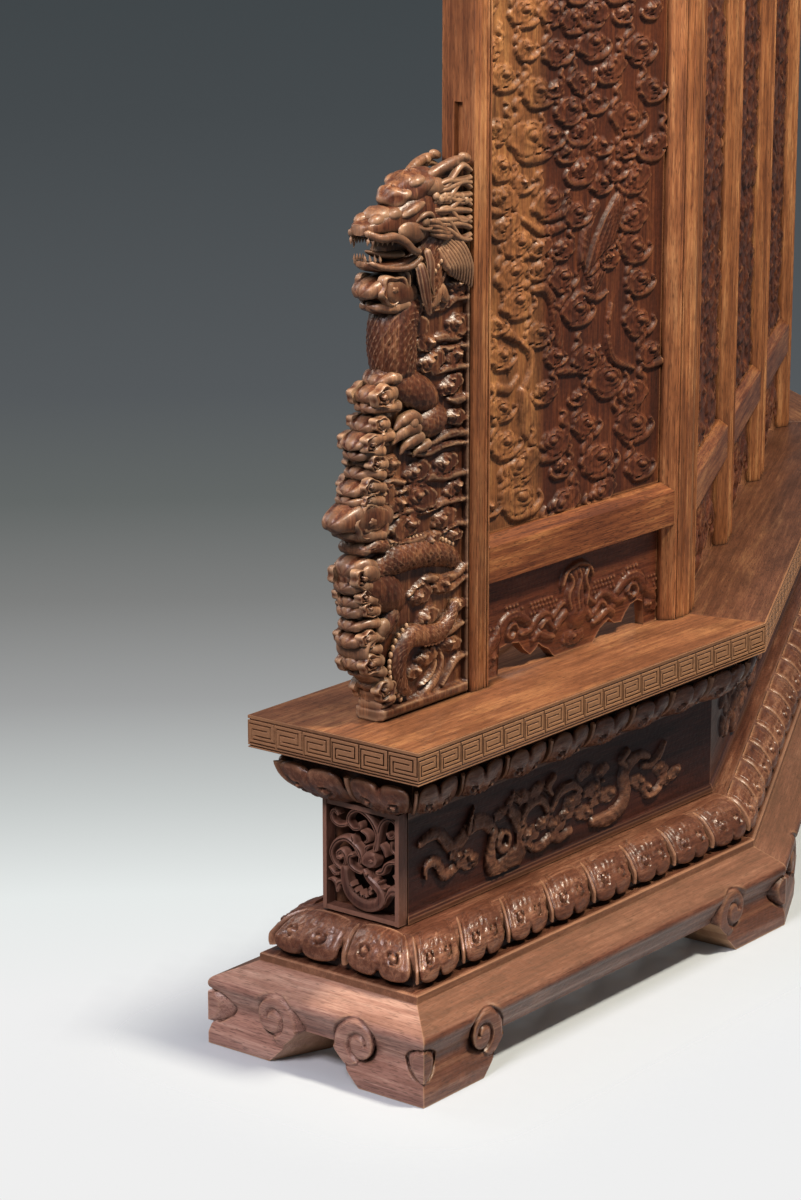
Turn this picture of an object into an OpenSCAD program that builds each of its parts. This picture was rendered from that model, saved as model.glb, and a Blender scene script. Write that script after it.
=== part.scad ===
// Carved wooden standing screen of five leaves on a mitred moulded base.
// The middle three leaves stand in line along X and a wing turns back at each end.
// Millimetres, +Z up. The origin is on the floor under the middle of the whole screen.
// The outer, carved side that faces the viewer looks along -Y.

/* [Plan] */
// Angle by which each wing turns back from the middle section
turn_angle = 26; // [12:1:36]
// Width of each of the three middle leaves
middle_leaf_w = 540; // [460:1:640]
// Width of each wing leaf
wing_leaf_w = 590; // [460:1:680]
// Length of ledge beyond the wing leaf, where the dragon spandrel stands
ledge_tail = 298; // [280:1:360]
// Depth of the ledge from front to back
ledge_depth = 320; // [300:1:400]

/* [Base] */
// Height of the plinth rails
plinth_h = 131; // [126:1:160]
// Reach of the plinth beyond the ledge
plinth_out = 46; // [36:1:60]
// Width of a plinth rail from front to back
plinth_rail_w = 110; // [90:1:130]
// Height of the arch under a plinth rail
toe_h = 57; // [40:1:70]
// Length of each foot along the front and back rails
foot_w = 146; // [120:1:180]
// Length of each foot along the end rails
foot_end_w = 121; // [90:1:130]
// Height of the lower lotus moulding
lotus_low_h = 87; // [70:1:110]
// Inset of the lower lotus moulding from the ledge edge
lotus_low_in = 15; // [8:1:22]
// Height of the waist
waist_h = 165; // [120:1:220]
// Inset of the waist boards from the ledge edge
waist_in = 88; // [70:1:95]
// Inset of the waist end panel from the ledge end
waist_end_in = 66; // [56:1:80]
// Thickness of the waist boards
waist_board_t = 18; // [12:1:24]
// Height of the carved relief above the waist board
waist_relief = 12; // [6:1:14]
// Width of the border of the pierced end panel
waist_border = 12; // [8:1:16]
// Width of the inner posts
post_w = 80; // [60:1:100]
// Height of the upper lotus moulding
lotus_up_h = 82; // [70:1:110]
// Inset of the upper lotus moulding from the ledge edge
lotus_up_in = 23; // [14:1:30]
// Thickness of the ledge board
ledge_thick = 50; // [46:1:64]

/* [Leaf frame] */
// Height of a leaf above the ledge
leaf_h = 1700; // [1300:1:1900]
// Thickness of stiles and rails
frame_t = 60; // [52:1:70]
// Width of a stile
stile_w = 58; // [50:1:70]
// Width of the sloped moulding on the inner edges
slope_w = 15; // [8:1:18]
// Depth of the sloped moulding
slope_d = 15; // [8:1:18]
// Gap between neighbouring leaves
leaf_gap = 0.6; // [0.4:0.1:1.5]
// Height of the mid rail's underside above the ledge
mid_rail_z = 160; // [140:1:220]
// Height of the mid rail
mid_rail_h = 71; // [56:1:90]
// Height of the upper rail
upper_rail_h = 62; // [50:1:80]
// Height of the opening for the brow panel
brow_h = 110; // [80:1:150]
// Height of the top rail
top_rail_h = 64; // [50:1:80]
// Length of the tenons at the stile feet
tenon_len = 36; // [24:1:40]
// Width of the tenons at the stile feet
tenon_w = 30; // [20:1:36]

/* [Panels] */
// Thickness of the tongue that sits in the frame's grooves
tongue_t = 12; // [8:1:16]
// Depth of the tongue in its groove
tongue_d = 8; // [5:1:10]
// Height of the relief above the ground of a panel, each side
relief_h = 9; // [5:1:12]
// Thickness of the panel between the two carved grounds
panel_t = 14; // [12:1:18]
// Height of a course of the panels' main cloud heads
cloud_pitch = 122; // [110:1:180]
// Height of the arches cut in the apron's lower edge
apron_arch_h = 41; // [24:1:60]

/* [Spandrel and crest] */
// Height of the dragon spandrel
spandrel_h = 822; // [600:1:1000]
// Greatest width of the dragon spandrel
spandrel_w = 310; // [260:1:340]
// Thickness of the dragon spandrel over its raised forms
spandrel_t = 60; // [50:1:76]
// Thickness of the dragon spandrel's ground
spandrel_ground_t = 36; // [30:1:44]
// Height of the crest on a wing leaf
wing_crest_h = 150; // [120:1:180]
// Height of the crest on the leaves beside the centre
inner_crest_h = 180; // [120:1:220]
// Height of the crest on the centre leaf
centre_crest_h = 225; // [150:1:280]
// Thickness of the crests
crest_t = 44; // [32:1:50]
// Thickness of the crest's two tenons
crest_tenon = 18; // [12:1:22]
// Length of the crest's two tenons
crest_tenon_len = 28; // [20:1:36]
// Clearance of sliding tenons in their mortises, each side
clearance = 0.4; // [0.3:0.1:0.8]
// Travel that lifts a piece clear of its mortises
lift = 60; // [45:1:80]

/* [Hidden] */
$fn = 48;

frame_colour = "#a8703f";
board_colour = "#8c5734";
carved_colour = "#7a4630";
plinth_colour = "#9c6a4c";
inner_colour = "#6e4a34";

// The plan
mitre = tan(turn_angle / 2);
half_depth = ledge_depth / 2;
middle_len = 3 * middle_leaf_w;
wing_len = wing_leaf_w + ledge_tail;
reach = 2 * ledge_depth;

// The levels of the base, from the floor up
lotus_low_z = plinth_h;
waist_z = lotus_low_z + lotus_low_h;
lotus_up_z = waist_z + waist_h;
ledge_z = lotus_up_z + lotus_up_h;
ledge_top = ledge_z + ledge_thick;

// Shape of the plinth: slope, rounded arris, cove and flared foot
arris_z = plinth_h - 23;
bulge_r = 12;
foot_edge = 18;
cove_d = 15;
cove_r = cove_d + 4;
cove_z = (foot_edge + arris_z - 2 * bulge_r) / 2 + 6;
foot_slope = toe_h * 0.42;
foot_waist = toe_h * 0.55;

// Shape of the lotus mouldings: a fillet, then petals on a rounded face
lotus_r = 42;
lotus_fillet = 10;
lotus_groove = 6;
waist_bead = 6;
lip_h = 16;
recess_h = 14;
recess_d = 9;

// Field of the relief on a waist board: distance from its ends and edges
field_end = 60;
field_edge = 26;

// Faces of the waist
waist_y = half_depth - waist_in;
waist_x = wing_len - waist_end_in;
post_d = 2 * (waist_y - waist_board_t);
post_inset = post_w / 2 + post_d / 2 * mitre + 4;

// The keys that hold the three ledges together at their mitres
key_len = 120;
key_w = 44;
key_neck = 24;
key_neck_len = 16;
key_t = 20;
key_y = 96;
cavity_slack = 0.3;

// Levels of a leaf, above the ledge
top_rail_z = leaf_h - top_rail_h;
brow_z = top_rail_z - brow_h;
upper_rail_z = brow_z - upper_rail_h;
panel_z = mid_rail_z + mid_rail_h;
panel_h = upper_rail_z - panel_z;
rail_tenon = 22;
rail_tenon_t = 16;
stile_flat = stile_w - slope_w;
field_margin = 12;
rail_tenon_h = 30;
top_tenon_z = 18;
mid_tenon_z = 10;
upper_tenon_z = 12;

// The dragon spandrel's foot tenon and its tongue on the stile
foot_tenon_w = 60;
foot_tenon_t = 24;
foot_tenon_x = 110;
side_tongue_t = 14;
side_tongue_d = 10;

// Outline of the dragon spandrel, as shares of its width and height:
// outward from the stile, up from the ledge
spandrel_outline = [
    [0, 0], [0.687, 0], [0.687, 0.034], [0.732, 0.073], [0.79, 0.09], [0.842, 0.109],
    [0.835, 0.133], [0.884, 0.153], [0.865, 0.18], [0.874, 0.209], [0.868, 0.226],
    [0.897, 0.251], [0.89, 0.273], [0.816, 0.296], [0.81, 0.315], [0.832, 0.336],
    [0.942, 0.349], [0.987, 0.366], [0.987, 0.386], [0.932, 0.395], [0.877, 0.409],
    [0.877, 0.428], [0.819, 0.438], [0.806, 0.456], [0.758, 0.47], [0.761, 0.482],
    [0.826, 0.488], [0.832, 0.502], [0.816, 0.518], [0.761, 0.532], [0.739, 0.544],
    [0.687, 0.554], [0.729, 0.566], [0.735, 0.579], [0.726, 0.595], [0.665, 0.601],
    [0.658, 0.618], [0.594, 0.625], [0.606, 0.645], [0.616, 0.678], [0.603, 0.709],
    [0.581, 0.73], [0.713, 0.745], [0.748, 0.765], [0.732, 0.779], [0.677, 0.794],
    [0.613, 0.805], [0.658, 0.824], [0.655, 0.839], [0.619, 0.852], [0.748, 0.863],
    [0.761, 0.881], [0.69, 0.9], [0.613, 0.917], [0.568, 0.934], [0.516, 0.953],
    [0.406, 0.966], [0.303, 0.973], [0.194, 0.978], [0.168, 1], [0, 0.998],
];

// Main raised forms of the dragon and clouds, as shares of the same width and height
spandrel_forms = [
    // Base strip
    [[0, 0], [0.687, 0], [0.687, 0.029], [0, 0.029]],
    // Head with open jaws
    [[0.097, 0.956], [0.194, 0.978], [0.303, 0.973], [0.406, 0.966], [0.516, 0.953],
     [0.594, 0.944], [0.613, 0.917], [0.748, 0.881], [0.748, 0.863], [0.548, 0.852], [0.655, 0.839], [0.658, 0.824],
     [0.484, 0.818], [0.387, 0.839], [0.194, 0.871], [0.097, 0.9]],
    // Neck and mane
    [[0.019, 0.742], [0.194, 0.737], [0.381, 0.754], [0.4, 0.818], [0.226, 0.844], [0.019,
     0.852]],
    // Cloud under the jaw
    [[0.432, 0.735], [0.581, 0.73], [0.713, 0.745], [0.748, 0.765], [0.732, 0.779], [0.613,
     0.805], [0.484, 0.791]],
    // Upper loop of the body
    [[0.432, 0.637], [0.594, 0.625], [0.606, 0.645], [0.616, 0.678], [0.603, 0.709], [0.568,
     0.725], [0.471, 0.706]],
    // Shoulder
    [[0.168, 0.538], [0.271, 0.523], [0.484, 0.562], [0.613, 0.616], [0.529, 0.642], [0.31,
     0.608]],
    // Claw
    [[0.148, 0.482], [0.323, 0.467], [0.548, 0.487], [0.594, 0.523], [0.387, 0.535], [0.168,
     0.523]],
    // Outer clouds
    [[0.645, 0.535], [0.687, 0.554], [0.739, 0.544], [0.816, 0.518], [0.832, 0.502], [0.761,
     0.482], [0.806, 0.456], [0.877, 0.428], [0.987, 0.386], [0.987, 0.366], [0.81, 0.315],
     [0.697, 0.326], [0.665, 0.414]],
    // Small clouds above
    [[0.045, 0.657], [0.271, 0.647], [0.4, 0.681], [0.355, 0.723], [0.065, 0.72]],
    // Small clouds below
    [[0.045, 0.328], [0.484, 0.319], [0.548, 0.365], [0.484, 0.45], [0.065, 0.457]],
    // Lower loop and thigh
    [[0.058, 0.238], [0.168, 0.275], [0.484, 0.304], [0.742, 0.299], [0.89, 0.273], [0.897,
     0.251], [0.742, 0.195], [0.516, 0.182], [0.355, 0.224]],
    // Leg and tail
    [[0.142, 0.173], [0.323, 0.136], [0.516, 0.161], [0.677, 0.182], [0.729, 0.158], [0.613,
     0.117], [0.568, 0.054], [0.452, 0.018], [0.432, 0.102], [0.206, 0.112]],
    // Outer cloud stack
    [[0.794, 0.217], [0.865, 0.18], [0.835, 0.133], [0.79, 0.09], [0.732, 0.073], [0.69,
     0.122], [0.761, 0.17]],
];

// Points along an arc, from one angle to another
function arc(x, z, r, from, to, steps) =
    [for (i = [0:steps]) [x + r * cos(from + (to - from) * i / steps), z + r * sin(from + (to - from) * i / steps)]];

// A moulding's section as [reach beyond the ledge edge, height], from the bottom up
function plinth_section() = concat(
    [[plinth_out, 0], [plinth_out, foot_edge]],
    arc(plinth_out + cove_r - cove_d, cove_z, cove_r, 235, 135, 6),
    arc(plinth_out - bulge_r, arris_z - bulge_r, bulge_r, -45, 70, 6),
    [[-lotus_low_in, plinth_h]]);

function lotus_low_section(waist_inset) = concat(
    [[-lotus_low_in, lotus_low_z], [-lotus_low_in, lotus_low_z + lotus_fillet],
     [-lotus_low_in - lotus_groove, lotus_low_z + lotus_fillet + 2]],
    arc(-lotus_low_in - lotus_r - 2, waist_z - lotus_r - 4, lotus_r, -40, 86, 10),
    [[-waist_inset + waist_bead, waist_z - 4], [-waist_inset, waist_z - 4], [-waist_inset, waist_z]]);

function lotus_up_section(waist_inset) = concat(
    [[-waist_inset, lotus_up_z], [-waist_inset + waist_bead, lotus_up_z]],
    arc(-lotus_up_in - lotus_r, ledge_z - lip_h - recess_h, lotus_r, -62, 0, 8),
    [[-lotus_up_in, ledge_z - recess_h], [-lotus_up_in - recess_d, ledge_z - recess_h], [-lotus_up_in - recess_d, ledge_z]]);

function ledge_section() = [[0, ledge_z], [0, ledge_top]];

function both_sides(section) = concat(
    [for (p = section) [half_depth + p[0], p[1]]],
    [for (i = [len(section) - 1:-1:0]) [-half_depth - section[i][0], section[i][1]]]);

function end_side(section) = concat(
    [[-reach, section[0][1]]],
    [for (p = section) [wing_len + p[0], p[1]]],
    [[-reach, section[len(section) - 1][1]]]);

// A wing's own frame: x runs out along the wing from its mitre
module wing(side) {
    mirror([side < 0 ? 1 : 0, 0, 0])
        translate([middle_len / 2, 0, 0])
            rotate([0, 0, turn_angle])
                children();
}

module along_x(length) {
    rotate([90, 0, 90]) linear_extrude(length) children();
}

// A solid moulding of one wing, mitred at the turn and returned around the end
module wing_block(front, end) {
    difference() {
        intersection() {
            translate([-reach, 0, 0]) along_x(wing_len + 2 * reach) polygon(both_sides(front));
            rotate([90, 0, 0]) linear_extrude(2 * reach, center = true) polygon(end_side(end));
        }
        rotate([0, 0, -turn_angle / 2])
            translate([-2 * reach, -reach, -1]) cube([2 * reach, 2 * reach, ledge_top + 2]);
    }
}

// A solid moulding of the middle section, mitred at both ends
module middle_block(front) {
    difference() {
        translate([-middle_len / 2 - reach, 0, 0]) along_x(middle_len + 2 * reach) polygon(both_sides(front));
        for (side = [-1, 1])
            translate([side * middle_len / 2, 0, 0])
                rotate([0, 0, side * turn_angle / 2])
                    translate([side > 0 ? 0 : -2 * reach, -reach, -1]) cube([2 * reach, 2 * reach, ledge_top + 2]);
    }
}

// Plinth rails
plinth_y = half_depth + plinth_out;
plinth_y_in = plinth_y - plinth_rail_w;
plinth_x = wing_len + plinth_out;
plinth_x_in = plinth_x - plinth_rail_w;

// The arch between two feet, seen from the front, from one foot's inner toe to the next
module toe_arch(from, to) {
    rotate([90, 0, 0])
        linear_extrude(2 * reach, center = true)
            polygon([
                [from, -1], [from, 0], [from + foot_slope, foot_slope], [from + foot_waist, toe_h],
                [to - foot_waist, toe_h], [to - foot_slope, foot_slope], [to, 0], [to, -1],
            ]);
}

// A rail of a wing along the front (side -1) or the back (side 1)
module plinth_wing_rail(side) {
    outer = side * plinth_y;
    inner = side * plinth_y_in;
    difference() {
        intersection() {
            wing_block(plinth_section(), plinth_section());
            linear_extrude(plinth_h)
                polygon([[outer * mitre, outer], [plinth_x, outer], [plinth_x_in, inner], [inner * mitre, inner]]);
        }
        toe_arch(outer * mitre + foot_w, plinth_x - foot_w);
    }
}

module plinth_end_rail() {
    difference() {
        intersection() {
            wing_block(plinth_section(), plinth_section());
            linear_extrude(plinth_h)
                polygon([[plinth_x, -plinth_y], [plinth_x, plinth_y], [plinth_x_in, plinth_y_in], [plinth_x_in, -plinth_y_in]]);
        }
        rotate([0, 0, 90]) toe_arch(-plinth_y + foot_end_w, plinth_y - foot_end_w);
    }
}

module plinth_middle_rail(side) {
    outer = side * plinth_y;
    inner = side * plinth_y_in;
    half = middle_len / 2;
    difference() {
        intersection() {
            middle_block(plinth_section());
            linear_extrude(plinth_h)
                polygon([
                    [-half + outer * mitre, outer], [half - outer * mitre, outer],
                    [half - inner * mitre, inner], [-half + inner * mitre, inner],
                ]);
        }
        toe_arch(-half + outer * mitre + foot_w, half - outer * mitre - foot_w);
    }
}

module plinth_front_left() { color(plinth_colour) wing(-1) plinth_wing_rail(-1); }
module plinth_end_left() { color(plinth_colour) wing(-1) plinth_end_rail(); }
module plinth_back_left() { color(plinth_colour) wing(-1) plinth_wing_rail(1); }
module plinth_front_middle() { color(plinth_colour) plinth_middle_rail(-1); }
module plinth_back_middle() { color(plinth_colour) plinth_middle_rail(1); }
module plinth_front_right() { color(plinth_colour) wing(1) plinth_wing_rail(-1); }
module plinth_end_right() { color(plinth_colour) wing(1) plinth_end_rail(); }
module plinth_back_right() { color(plinth_colour) wing(1) plinth_wing_rail(1); }

// Lotus mouldings below and above the waist
module lotus_lower_wing() {
    wing_block(lotus_low_section(waist_in), lotus_low_section(waist_end_in));
}

module lotus_upper_wing() {
    wing_block(lotus_up_section(waist_in), lotus_up_section(waist_end_in));
}

module lotus_lower_left() { color(carved_colour) wing(-1) lotus_lower_wing(); }
module lotus_lower_middle() { color(carved_colour) middle_block(lotus_low_section(waist_in)); }
module lotus_lower_right() { color(carved_colour) wing(1) lotus_lower_wing(); }
module lotus_upper_left() { color(carved_colour) wing(-1) lotus_upper_wing(); }
module lotus_upper_middle() { color(carved_colour) middle_block(lotus_up_section(waist_in)); }
module lotus_upper_right() { color(carved_colour) wing(1) lotus_upper_wing(); }

// Waist boards, front and back, with the field of their carved relief
module waist_plan(run, outer, inner) {
    linear_extrude(waist_h) polygon(run == "wing"
        ? [[outer * mitre, outer], [waist_x - waist_board_t, outer], [waist_x - waist_board_t, inner], [inner * mitre, inner]]
        : [[-middle_len / 2 + outer * mitre, outer], [middle_len / 2 - outer * mitre, outer],
           [middle_len / 2 - inner * mitre, inner], [-middle_len / 2 + inner * mitre, inner]]);
}

module waist_field(from, to, side) {
    translate([from, side > 0 ? waist_y : -waist_y - waist_relief, field_edge])
        cube([to - from, waist_relief, waist_h - 2 * field_edge]);
}

module waist_boards_wing() {
    translate([0, 0, waist_z])
        for (side = [-1, 1]) {
            waist_plan("wing", side * waist_y, side * (waist_y - waist_board_t));
            waist_field(field_end, waist_x - waist_board_t - field_end, side);
        }
}

module waist_boards_left() { color(board_colour) wing(-1) waist_boards_wing(); }
module waist_boards_right() { color(board_colour) wing(1) waist_boards_wing(); }
module waist_boards_middle() {
    color(board_colour)
        translate([0, 0, waist_z])
            for (side = [-1, 1]) {
                waist_plan("middle", side * waist_y, side * (waist_y - waist_board_t));
                waist_field(-middle_len / 2 + field_end, middle_len / 2 - field_end, side);
            }
}

// A ring of a tendril in the pierced end panel
tendril_w = 7;
module tendril(y, z, r) {
    translate([0, y, z]) rotate([0, 90, 0]) difference() {
        cylinder(h = waist_board_t, r = r);
        translate([0, 0, -1]) cylinder(h = waist_board_t + 2, r = r - tendril_w);
    }
}

module waist_end_panel() {
    inner_w = 2 * waist_y - 2 * waist_border;
    inner_h = waist_h - 2 * waist_border;
    step = inner_h / 5;
    translate([waist_x - waist_board_t, 0, waist_z]) {
        difference() {
            translate([0, -waist_y, 0]) cube([waist_board_t, 2 * waist_y, waist_h]);
            translate([-1, -inner_w / 2, waist_border]) cube([waist_board_t + 2, inner_w, inner_h]);
        }
        intersection() {
            union() {
                for (side = [-1, 1]) {
                    tendril(side * inner_w / 4, waist_border + step, inner_w / 4 + 2);
                    tendril(side * inner_w / 4, waist_border + 2.6 * step, inner_w / 4 + 1);
                    tendril(side * inner_w / 4, waist_border + 4.2 * step, inner_w / 4 + 2);
                }
                translate([0, -5, 0]) cube([waist_board_t, 10, waist_h]);
            }
            translate([0, -waist_y, 0]) cube([waist_board_t, 2 * waist_y, waist_h]);
        }
    }
}

module waist_end_left() { color(carved_colour) wing(-1) waist_end_panel(); }
module waist_end_right() { color(carved_colour) wing(1) waist_end_panel(); }

// Posts inside the waist, under the mitres, the leaf joints and the spandrels
module post() {
    translate([-post_w / 2, -post_d / 2, waist_z]) cube([post_w, post_d, waist_h]);
}

module waist_posts() {
    color(inner_colour) {
        for (side = [-1, 1]) {
            translate([side * (middle_len / 2 - post_inset), 0, 0]) post();
            translate([side * middle_leaf_w / 2, 0, 0]) post();
            wing(side) {
                translate([post_inset, 0, 0]) post();
                translate([wing_leaf_w, 0, 0]) post();
            }
        }
    }
}

// Ledge boards with the mortises for the leaves and the spandrel
module mortise(x) {
    slot = tenon_w + 2 * clearance;
    translate([x - slot / 2, -slot / 2, ledge_top - tenon_len - 1]) cube([slot, slot, tenon_len + 2]);
}

module foot_mortise(x) {
    slot_w = foot_tenon_w + 2 * clearance;
    slot_t = foot_tenon_t + 2 * clearance;
    translate([x - slot_w / 2, -slot_t / 2, ledge_top - tenon_len - 1]) cube([slot_w, slot_t, tenon_len + 2]);
}

// A butterfly key across a mitre, narrow in the middle
module key(slack) {
    translate([0, 0, ledge_z])
        linear_extrude(key_t + slack)
            polygon([
                for (side = [-1, 1]) each [
                    [side * key_neck_len / 2, side * (key_neck / 2 + slack)],
                    [side * (key_len / 2 + slack), side * (key_w / 2 + slack)],
                    [side * (key_len / 2 + slack), -side * (key_w / 2 + slack)],
                    [side * key_neck_len / 2, -side * (key_neck / 2 + slack)],
                ]
            ]);
}

module keys_at_mitre(side, slack) {
    for (row = [-1, 1])
        translate([side * middle_len / 2, 0, 0])
            rotate([0, 0, side * turn_angle / 2])
                translate([0, row * key_y, 0]) key(slack);
}

module ledge_wing_board() {
    difference() {
        wing_block(ledge_section(), ledge_section());
        mortise(stile_w / 2);
        mortise(wing_leaf_w - stile_w / 2);
        foot_mortise(wing_leaf_w + foot_tenon_x);
    }
}

module ledge_left() {
    color(frame_colour) difference() {
        wing(-1) ledge_wing_board();
        keys_at_mitre(-1, cavity_slack);
    }
}

module ledge_right() {
    color(frame_colour) difference() {
        wing(1) ledge_wing_board();
        keys_at_mitre(1, cavity_slack);
    }
}

module ledge_middle() {
    color(frame_colour) difference() {
        middle_block(ledge_section());
        for (leaf = [-1:1], edge = [-1, 1])
            mortise(leaf * middle_leaf_w + edge * (middle_leaf_w - stile_w) / 2);
        for (side = [-1, 1]) keys_at_mitre(side, cavity_slack);
    }
}

module mitre_keys() {
    color(inner_colour) for (side = [-1, 1]) keys_at_mitre(side, 0);
}

// Leaves. Each is built with its lower left corner at x = 0 on the ledge.
// left_mitre and right_mitre are 1 where that edge is cut to the turn, else 0.
function stile_plan(w_mitre) = let (h = frame_t / 2, lean = w_mitre * mitre * h) [
    [leaf_gap / 2 - lean, -h], [stile_flat, -h], [stile_w, -h + slope_d],
    [stile_w, h - slope_d], [stile_flat, h], [leaf_gap / 2 + lean, h],
];

module stile(w_mitre) {
    difference() {
        union() {
            linear_extrude(leaf_h) polygon(stile_plan(w_mitre));
            translate([(stile_w - tenon_w) / 2, -tenon_w / 2, -tenon_len]) cube([tenon_w, tenon_w, tenon_len + 1]);
        }
        panel_groove();
        for (z = [mid_rail_z + mid_tenon_z, upper_rail_z + upper_tenon_z, top_rail_z + top_tenon_z])
            translate([stile_w - rail_tenon, -rail_tenon_t / 2 - cavity_slack / 2, z - cavity_slack / 2])
                cube([rail_tenon + 1, rail_tenon_t + cavity_slack, rail_tenon_h + cavity_slack]);
    }
}

// The groove up a stile for the panels' tongues, from the ledge into the top rail
module panel_groove() {
    slot = tongue_t + cavity_slack;
    translate([stile_w - tongue_d - cavity_slack, -slot / 2, -1])
        cube([tongue_d + 1, slot, top_rail_z + tongue_d + cavity_slack + 1]);
}

module leaf_stiles(w, left_mitre, right_mitre) {
    stile(left_mitre);
    translate([w, 0, 0]) mirror([1, 0, 0]) stile(right_mitre);
}

// The outer stile of a wing is grooved for the spandrel's tongue
module spandrel_groove(w) {
    slot = side_tongue_t + 2 * clearance;
    translate([w - leaf_gap / 2 - side_tongue_d - clearance, -slot / 2, -1])
        cube([side_tongue_d + leaf_gap + 1, slot, spandrel_h + lift + 6]);
}

// A rail's section: sloped towards each panel that it frames
module rail_section(h, slope_below, slope_above) {
    half = frame_t / 2;
    polygon([
        [-half + slope_below * slope_d, 0], [half - slope_below * slope_d, 0],
        [half, slope_below * slope_w], [half, h - slope_above * slope_w],
        [half - slope_above * slope_d, h], [-half + slope_above * slope_d, h],
        [-half, h - slope_above * slope_w], [-half, slope_below * slope_w],
    ]);
}

module rail(w, z, h, slope_below, slope_above) {
    slot = tongue_t + cavity_slack;
    tenon_z = z == top_rail_z ? top_tenon_z : z == mid_rail_z ? mid_tenon_z : upper_tenon_z;
    difference() {
        union() {
            difference() {
                translate([stile_flat, 0, z])
                    along_x(w - 2 * stile_flat) rail_section(h, slope_below, slope_above);
                for (x = [0, 1])
                    translate([x * w, 0, 0]) mirror([x, 0, 0])
                        translate([0, 0, z - 1]) linear_extrude(h + 2) polygon(stile_plan(0));
            }
            translate([stile_w - rail_tenon, -rail_tenon_t / 2, z + tenon_z])
                cube([w - 2 * stile_w + 2 * rail_tenon, rail_tenon_t, rail_tenon_h]);
        }
        if (slope_above == 1)
            translate([0, -slot / 2, z + h - tongue_d - cavity_slack]) cube([w, slot, tongue_d + 1]);
        translate([stile_w - tongue_d - 1, -slot / 2, z - 1])
            cube([w - 2 * (stile_w - tongue_d - 1), slot, tongue_d + 1 + cavity_slack]);
    }
}

module leaf_rails(w) {
    rail(w, mid_rail_z, mid_rail_h, 0, 1);
    rail(w, upper_rail_z, upper_rail_h, 1, 1);
    difference() {
        rail(w, top_rail_z, top_rail_h, 1, 0);
        crest_tenons(w, clearance);
    }
}

// A board held by tongues on all sides, its ground on both faces
module held_board(w, z, h) {
    opening_w = w - 2 * stile_w;
    translate([stile_w - tongue_d, -tongue_t / 2, z - tongue_d])
        cube([opening_w + 2 * tongue_d, tongue_t, h + 2 * tongue_d]);
    translate([stile_w + cavity_slack, -panel_t / 2, z + cavity_slack])
        cube([opening_w - 2 * cavity_slack, panel_t, h - 2 * cavity_slack]);
}

// A cloud head in flat relief on both faces, lobed on its upper side
module cloud_head(size) {
    rotate([90, 0, 0])
        linear_extrude(panel_t + 2 * relief_h, center = true)
            polygon([
                [-size, -size * 0.1], [-size * 0.72, -size * 0.46], [size * 0.4, -size * 0.52],
                [size, -size * 0.24], [size * 0.84, size * 0.26], [size * 0.36, size * 0.3],
                [size * 0.1, size * 0.56], [-size * 0.5, size * 0.5], [-size * 0.62, size * 0.2],
            ]);
}

// Panel with its main cloud heads in staggered courses
module leaf_panel(w) {
    opening_w = w - 2 * stile_w;
    courses = floor(panel_h / cloud_pitch);
    rise = panel_h / courses;
    union() {
        held_board(w, panel_z, panel_h);
        for (course = [0 : courses - 1])
            for (place = course % 2 == 0 ? [-1, 0, 1] : [-0.5, 0.5])
                translate([w / 2 + place * opening_w * 0.33, 0, panel_z + (course + 0.5) * rise])
                    cloud_head(opening_w * 0.125);
    }
}

// Brow with one raised field on each face
module leaf_brow(w) {
    field_t = panel_t + 2 * relief_h;
    held_board(w, brow_z, brow_h);
    translate([stile_w + field_margin, -field_t / 2, brow_z + field_margin])
        cube([w - 2 * stile_w - 2 * field_margin, field_t, brow_h - 2 * field_margin]);
}

// The apron's lower edge: toes on the ledge with arches between them
module apron_arches(w) {
    span = w - 2 * stile_w;
    for (side = [0, 1])
        translate([w / 2, 0, 0]) mirror([side, 0, 0]) {
            translate([span * 0.36, 0, 0]) arch_cut(span * 0.085, apron_arch_h);
            translate([span * 0.19, 0, 0]) arch_cut(span * 0.055, apron_arch_h * 0.6);
        }
}

// A round-headed cut through the apron
module arch_cut(half, h) {
    translate([-half, -frame_t, -1]) cube([2 * half, 2 * frame_t, h - half + 1]);
    translate([0, 0, h - half]) rotate([90, 0, 0]) cylinder(h = 2 * frame_t, r = half, center = true);
}

module leaf_apron(w) {
    opening_w = w - 2 * stile_w;
    field_t = panel_t + 2 * relief_h;
    difference() {
        union() {
            translate([stile_w - tongue_d, -tongue_t / 2, 0])
                cube([opening_w + 2 * tongue_d, tongue_t, mid_rail_z + tongue_d]);
            translate([stile_w + cavity_slack, -panel_t / 2, 0])
                cube([opening_w - 2 * cavity_slack, panel_t, mid_rail_z - cavity_slack]);
            translate([stile_w + field_margin, -field_t / 2, 0])
                cube([opening_w - 2 * field_margin, field_t, mid_rail_z - field_margin]);
        }
        apron_arches(w);
    }
}

// Crests: a base rail with cloud heads that rise to the middle
module crest_tenons(w, slack) {
    for (side = [-1, 1])
        translate([w / 2 + side * w / 4 - crest_tenon - slack, -crest_tenon / 2 - slack, leaf_h - crest_tenon_len - slack])
            cube([2 * crest_tenon + 2 * slack, crest_tenon + 2 * slack, crest_tenon_len + 2 * slack + 1]);
}

module crest(w, h) {
    bar = h * 0.3;
    half = w / 2 - 12;
    translate([w / 2, 0, leaf_h])
        rotate([90, 0, 0])
            linear_extrude(crest_t, center = true)
                intersection() {
                    union() {
                        translate([-half, 0]) square([2 * half, bar]);
                        translate([0, h * 0.66]) circle(r = h * 0.34);
                        translate([-h * 0.3, 0]) square([h * 0.6, h * 0.6]);
                        for (side = [-1, 1]) {
                            translate([side * half * 0.33, h * 0.46]) circle(r = h * 0.3);
                            translate([side * half * 0.58, h * 0.34]) circle(r = h * 0.26);
                            translate([side * half * 0.8, h * 0.27]) circle(r = h * 0.22);
                            translate([side * half * 0.92, h * 0.22]) circle(r = half * 0.08);
                        }
                    }
                    translate([-half, 0]) square([2 * half, h]);
                }
    crest_tenons(w, 0);
}

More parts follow.
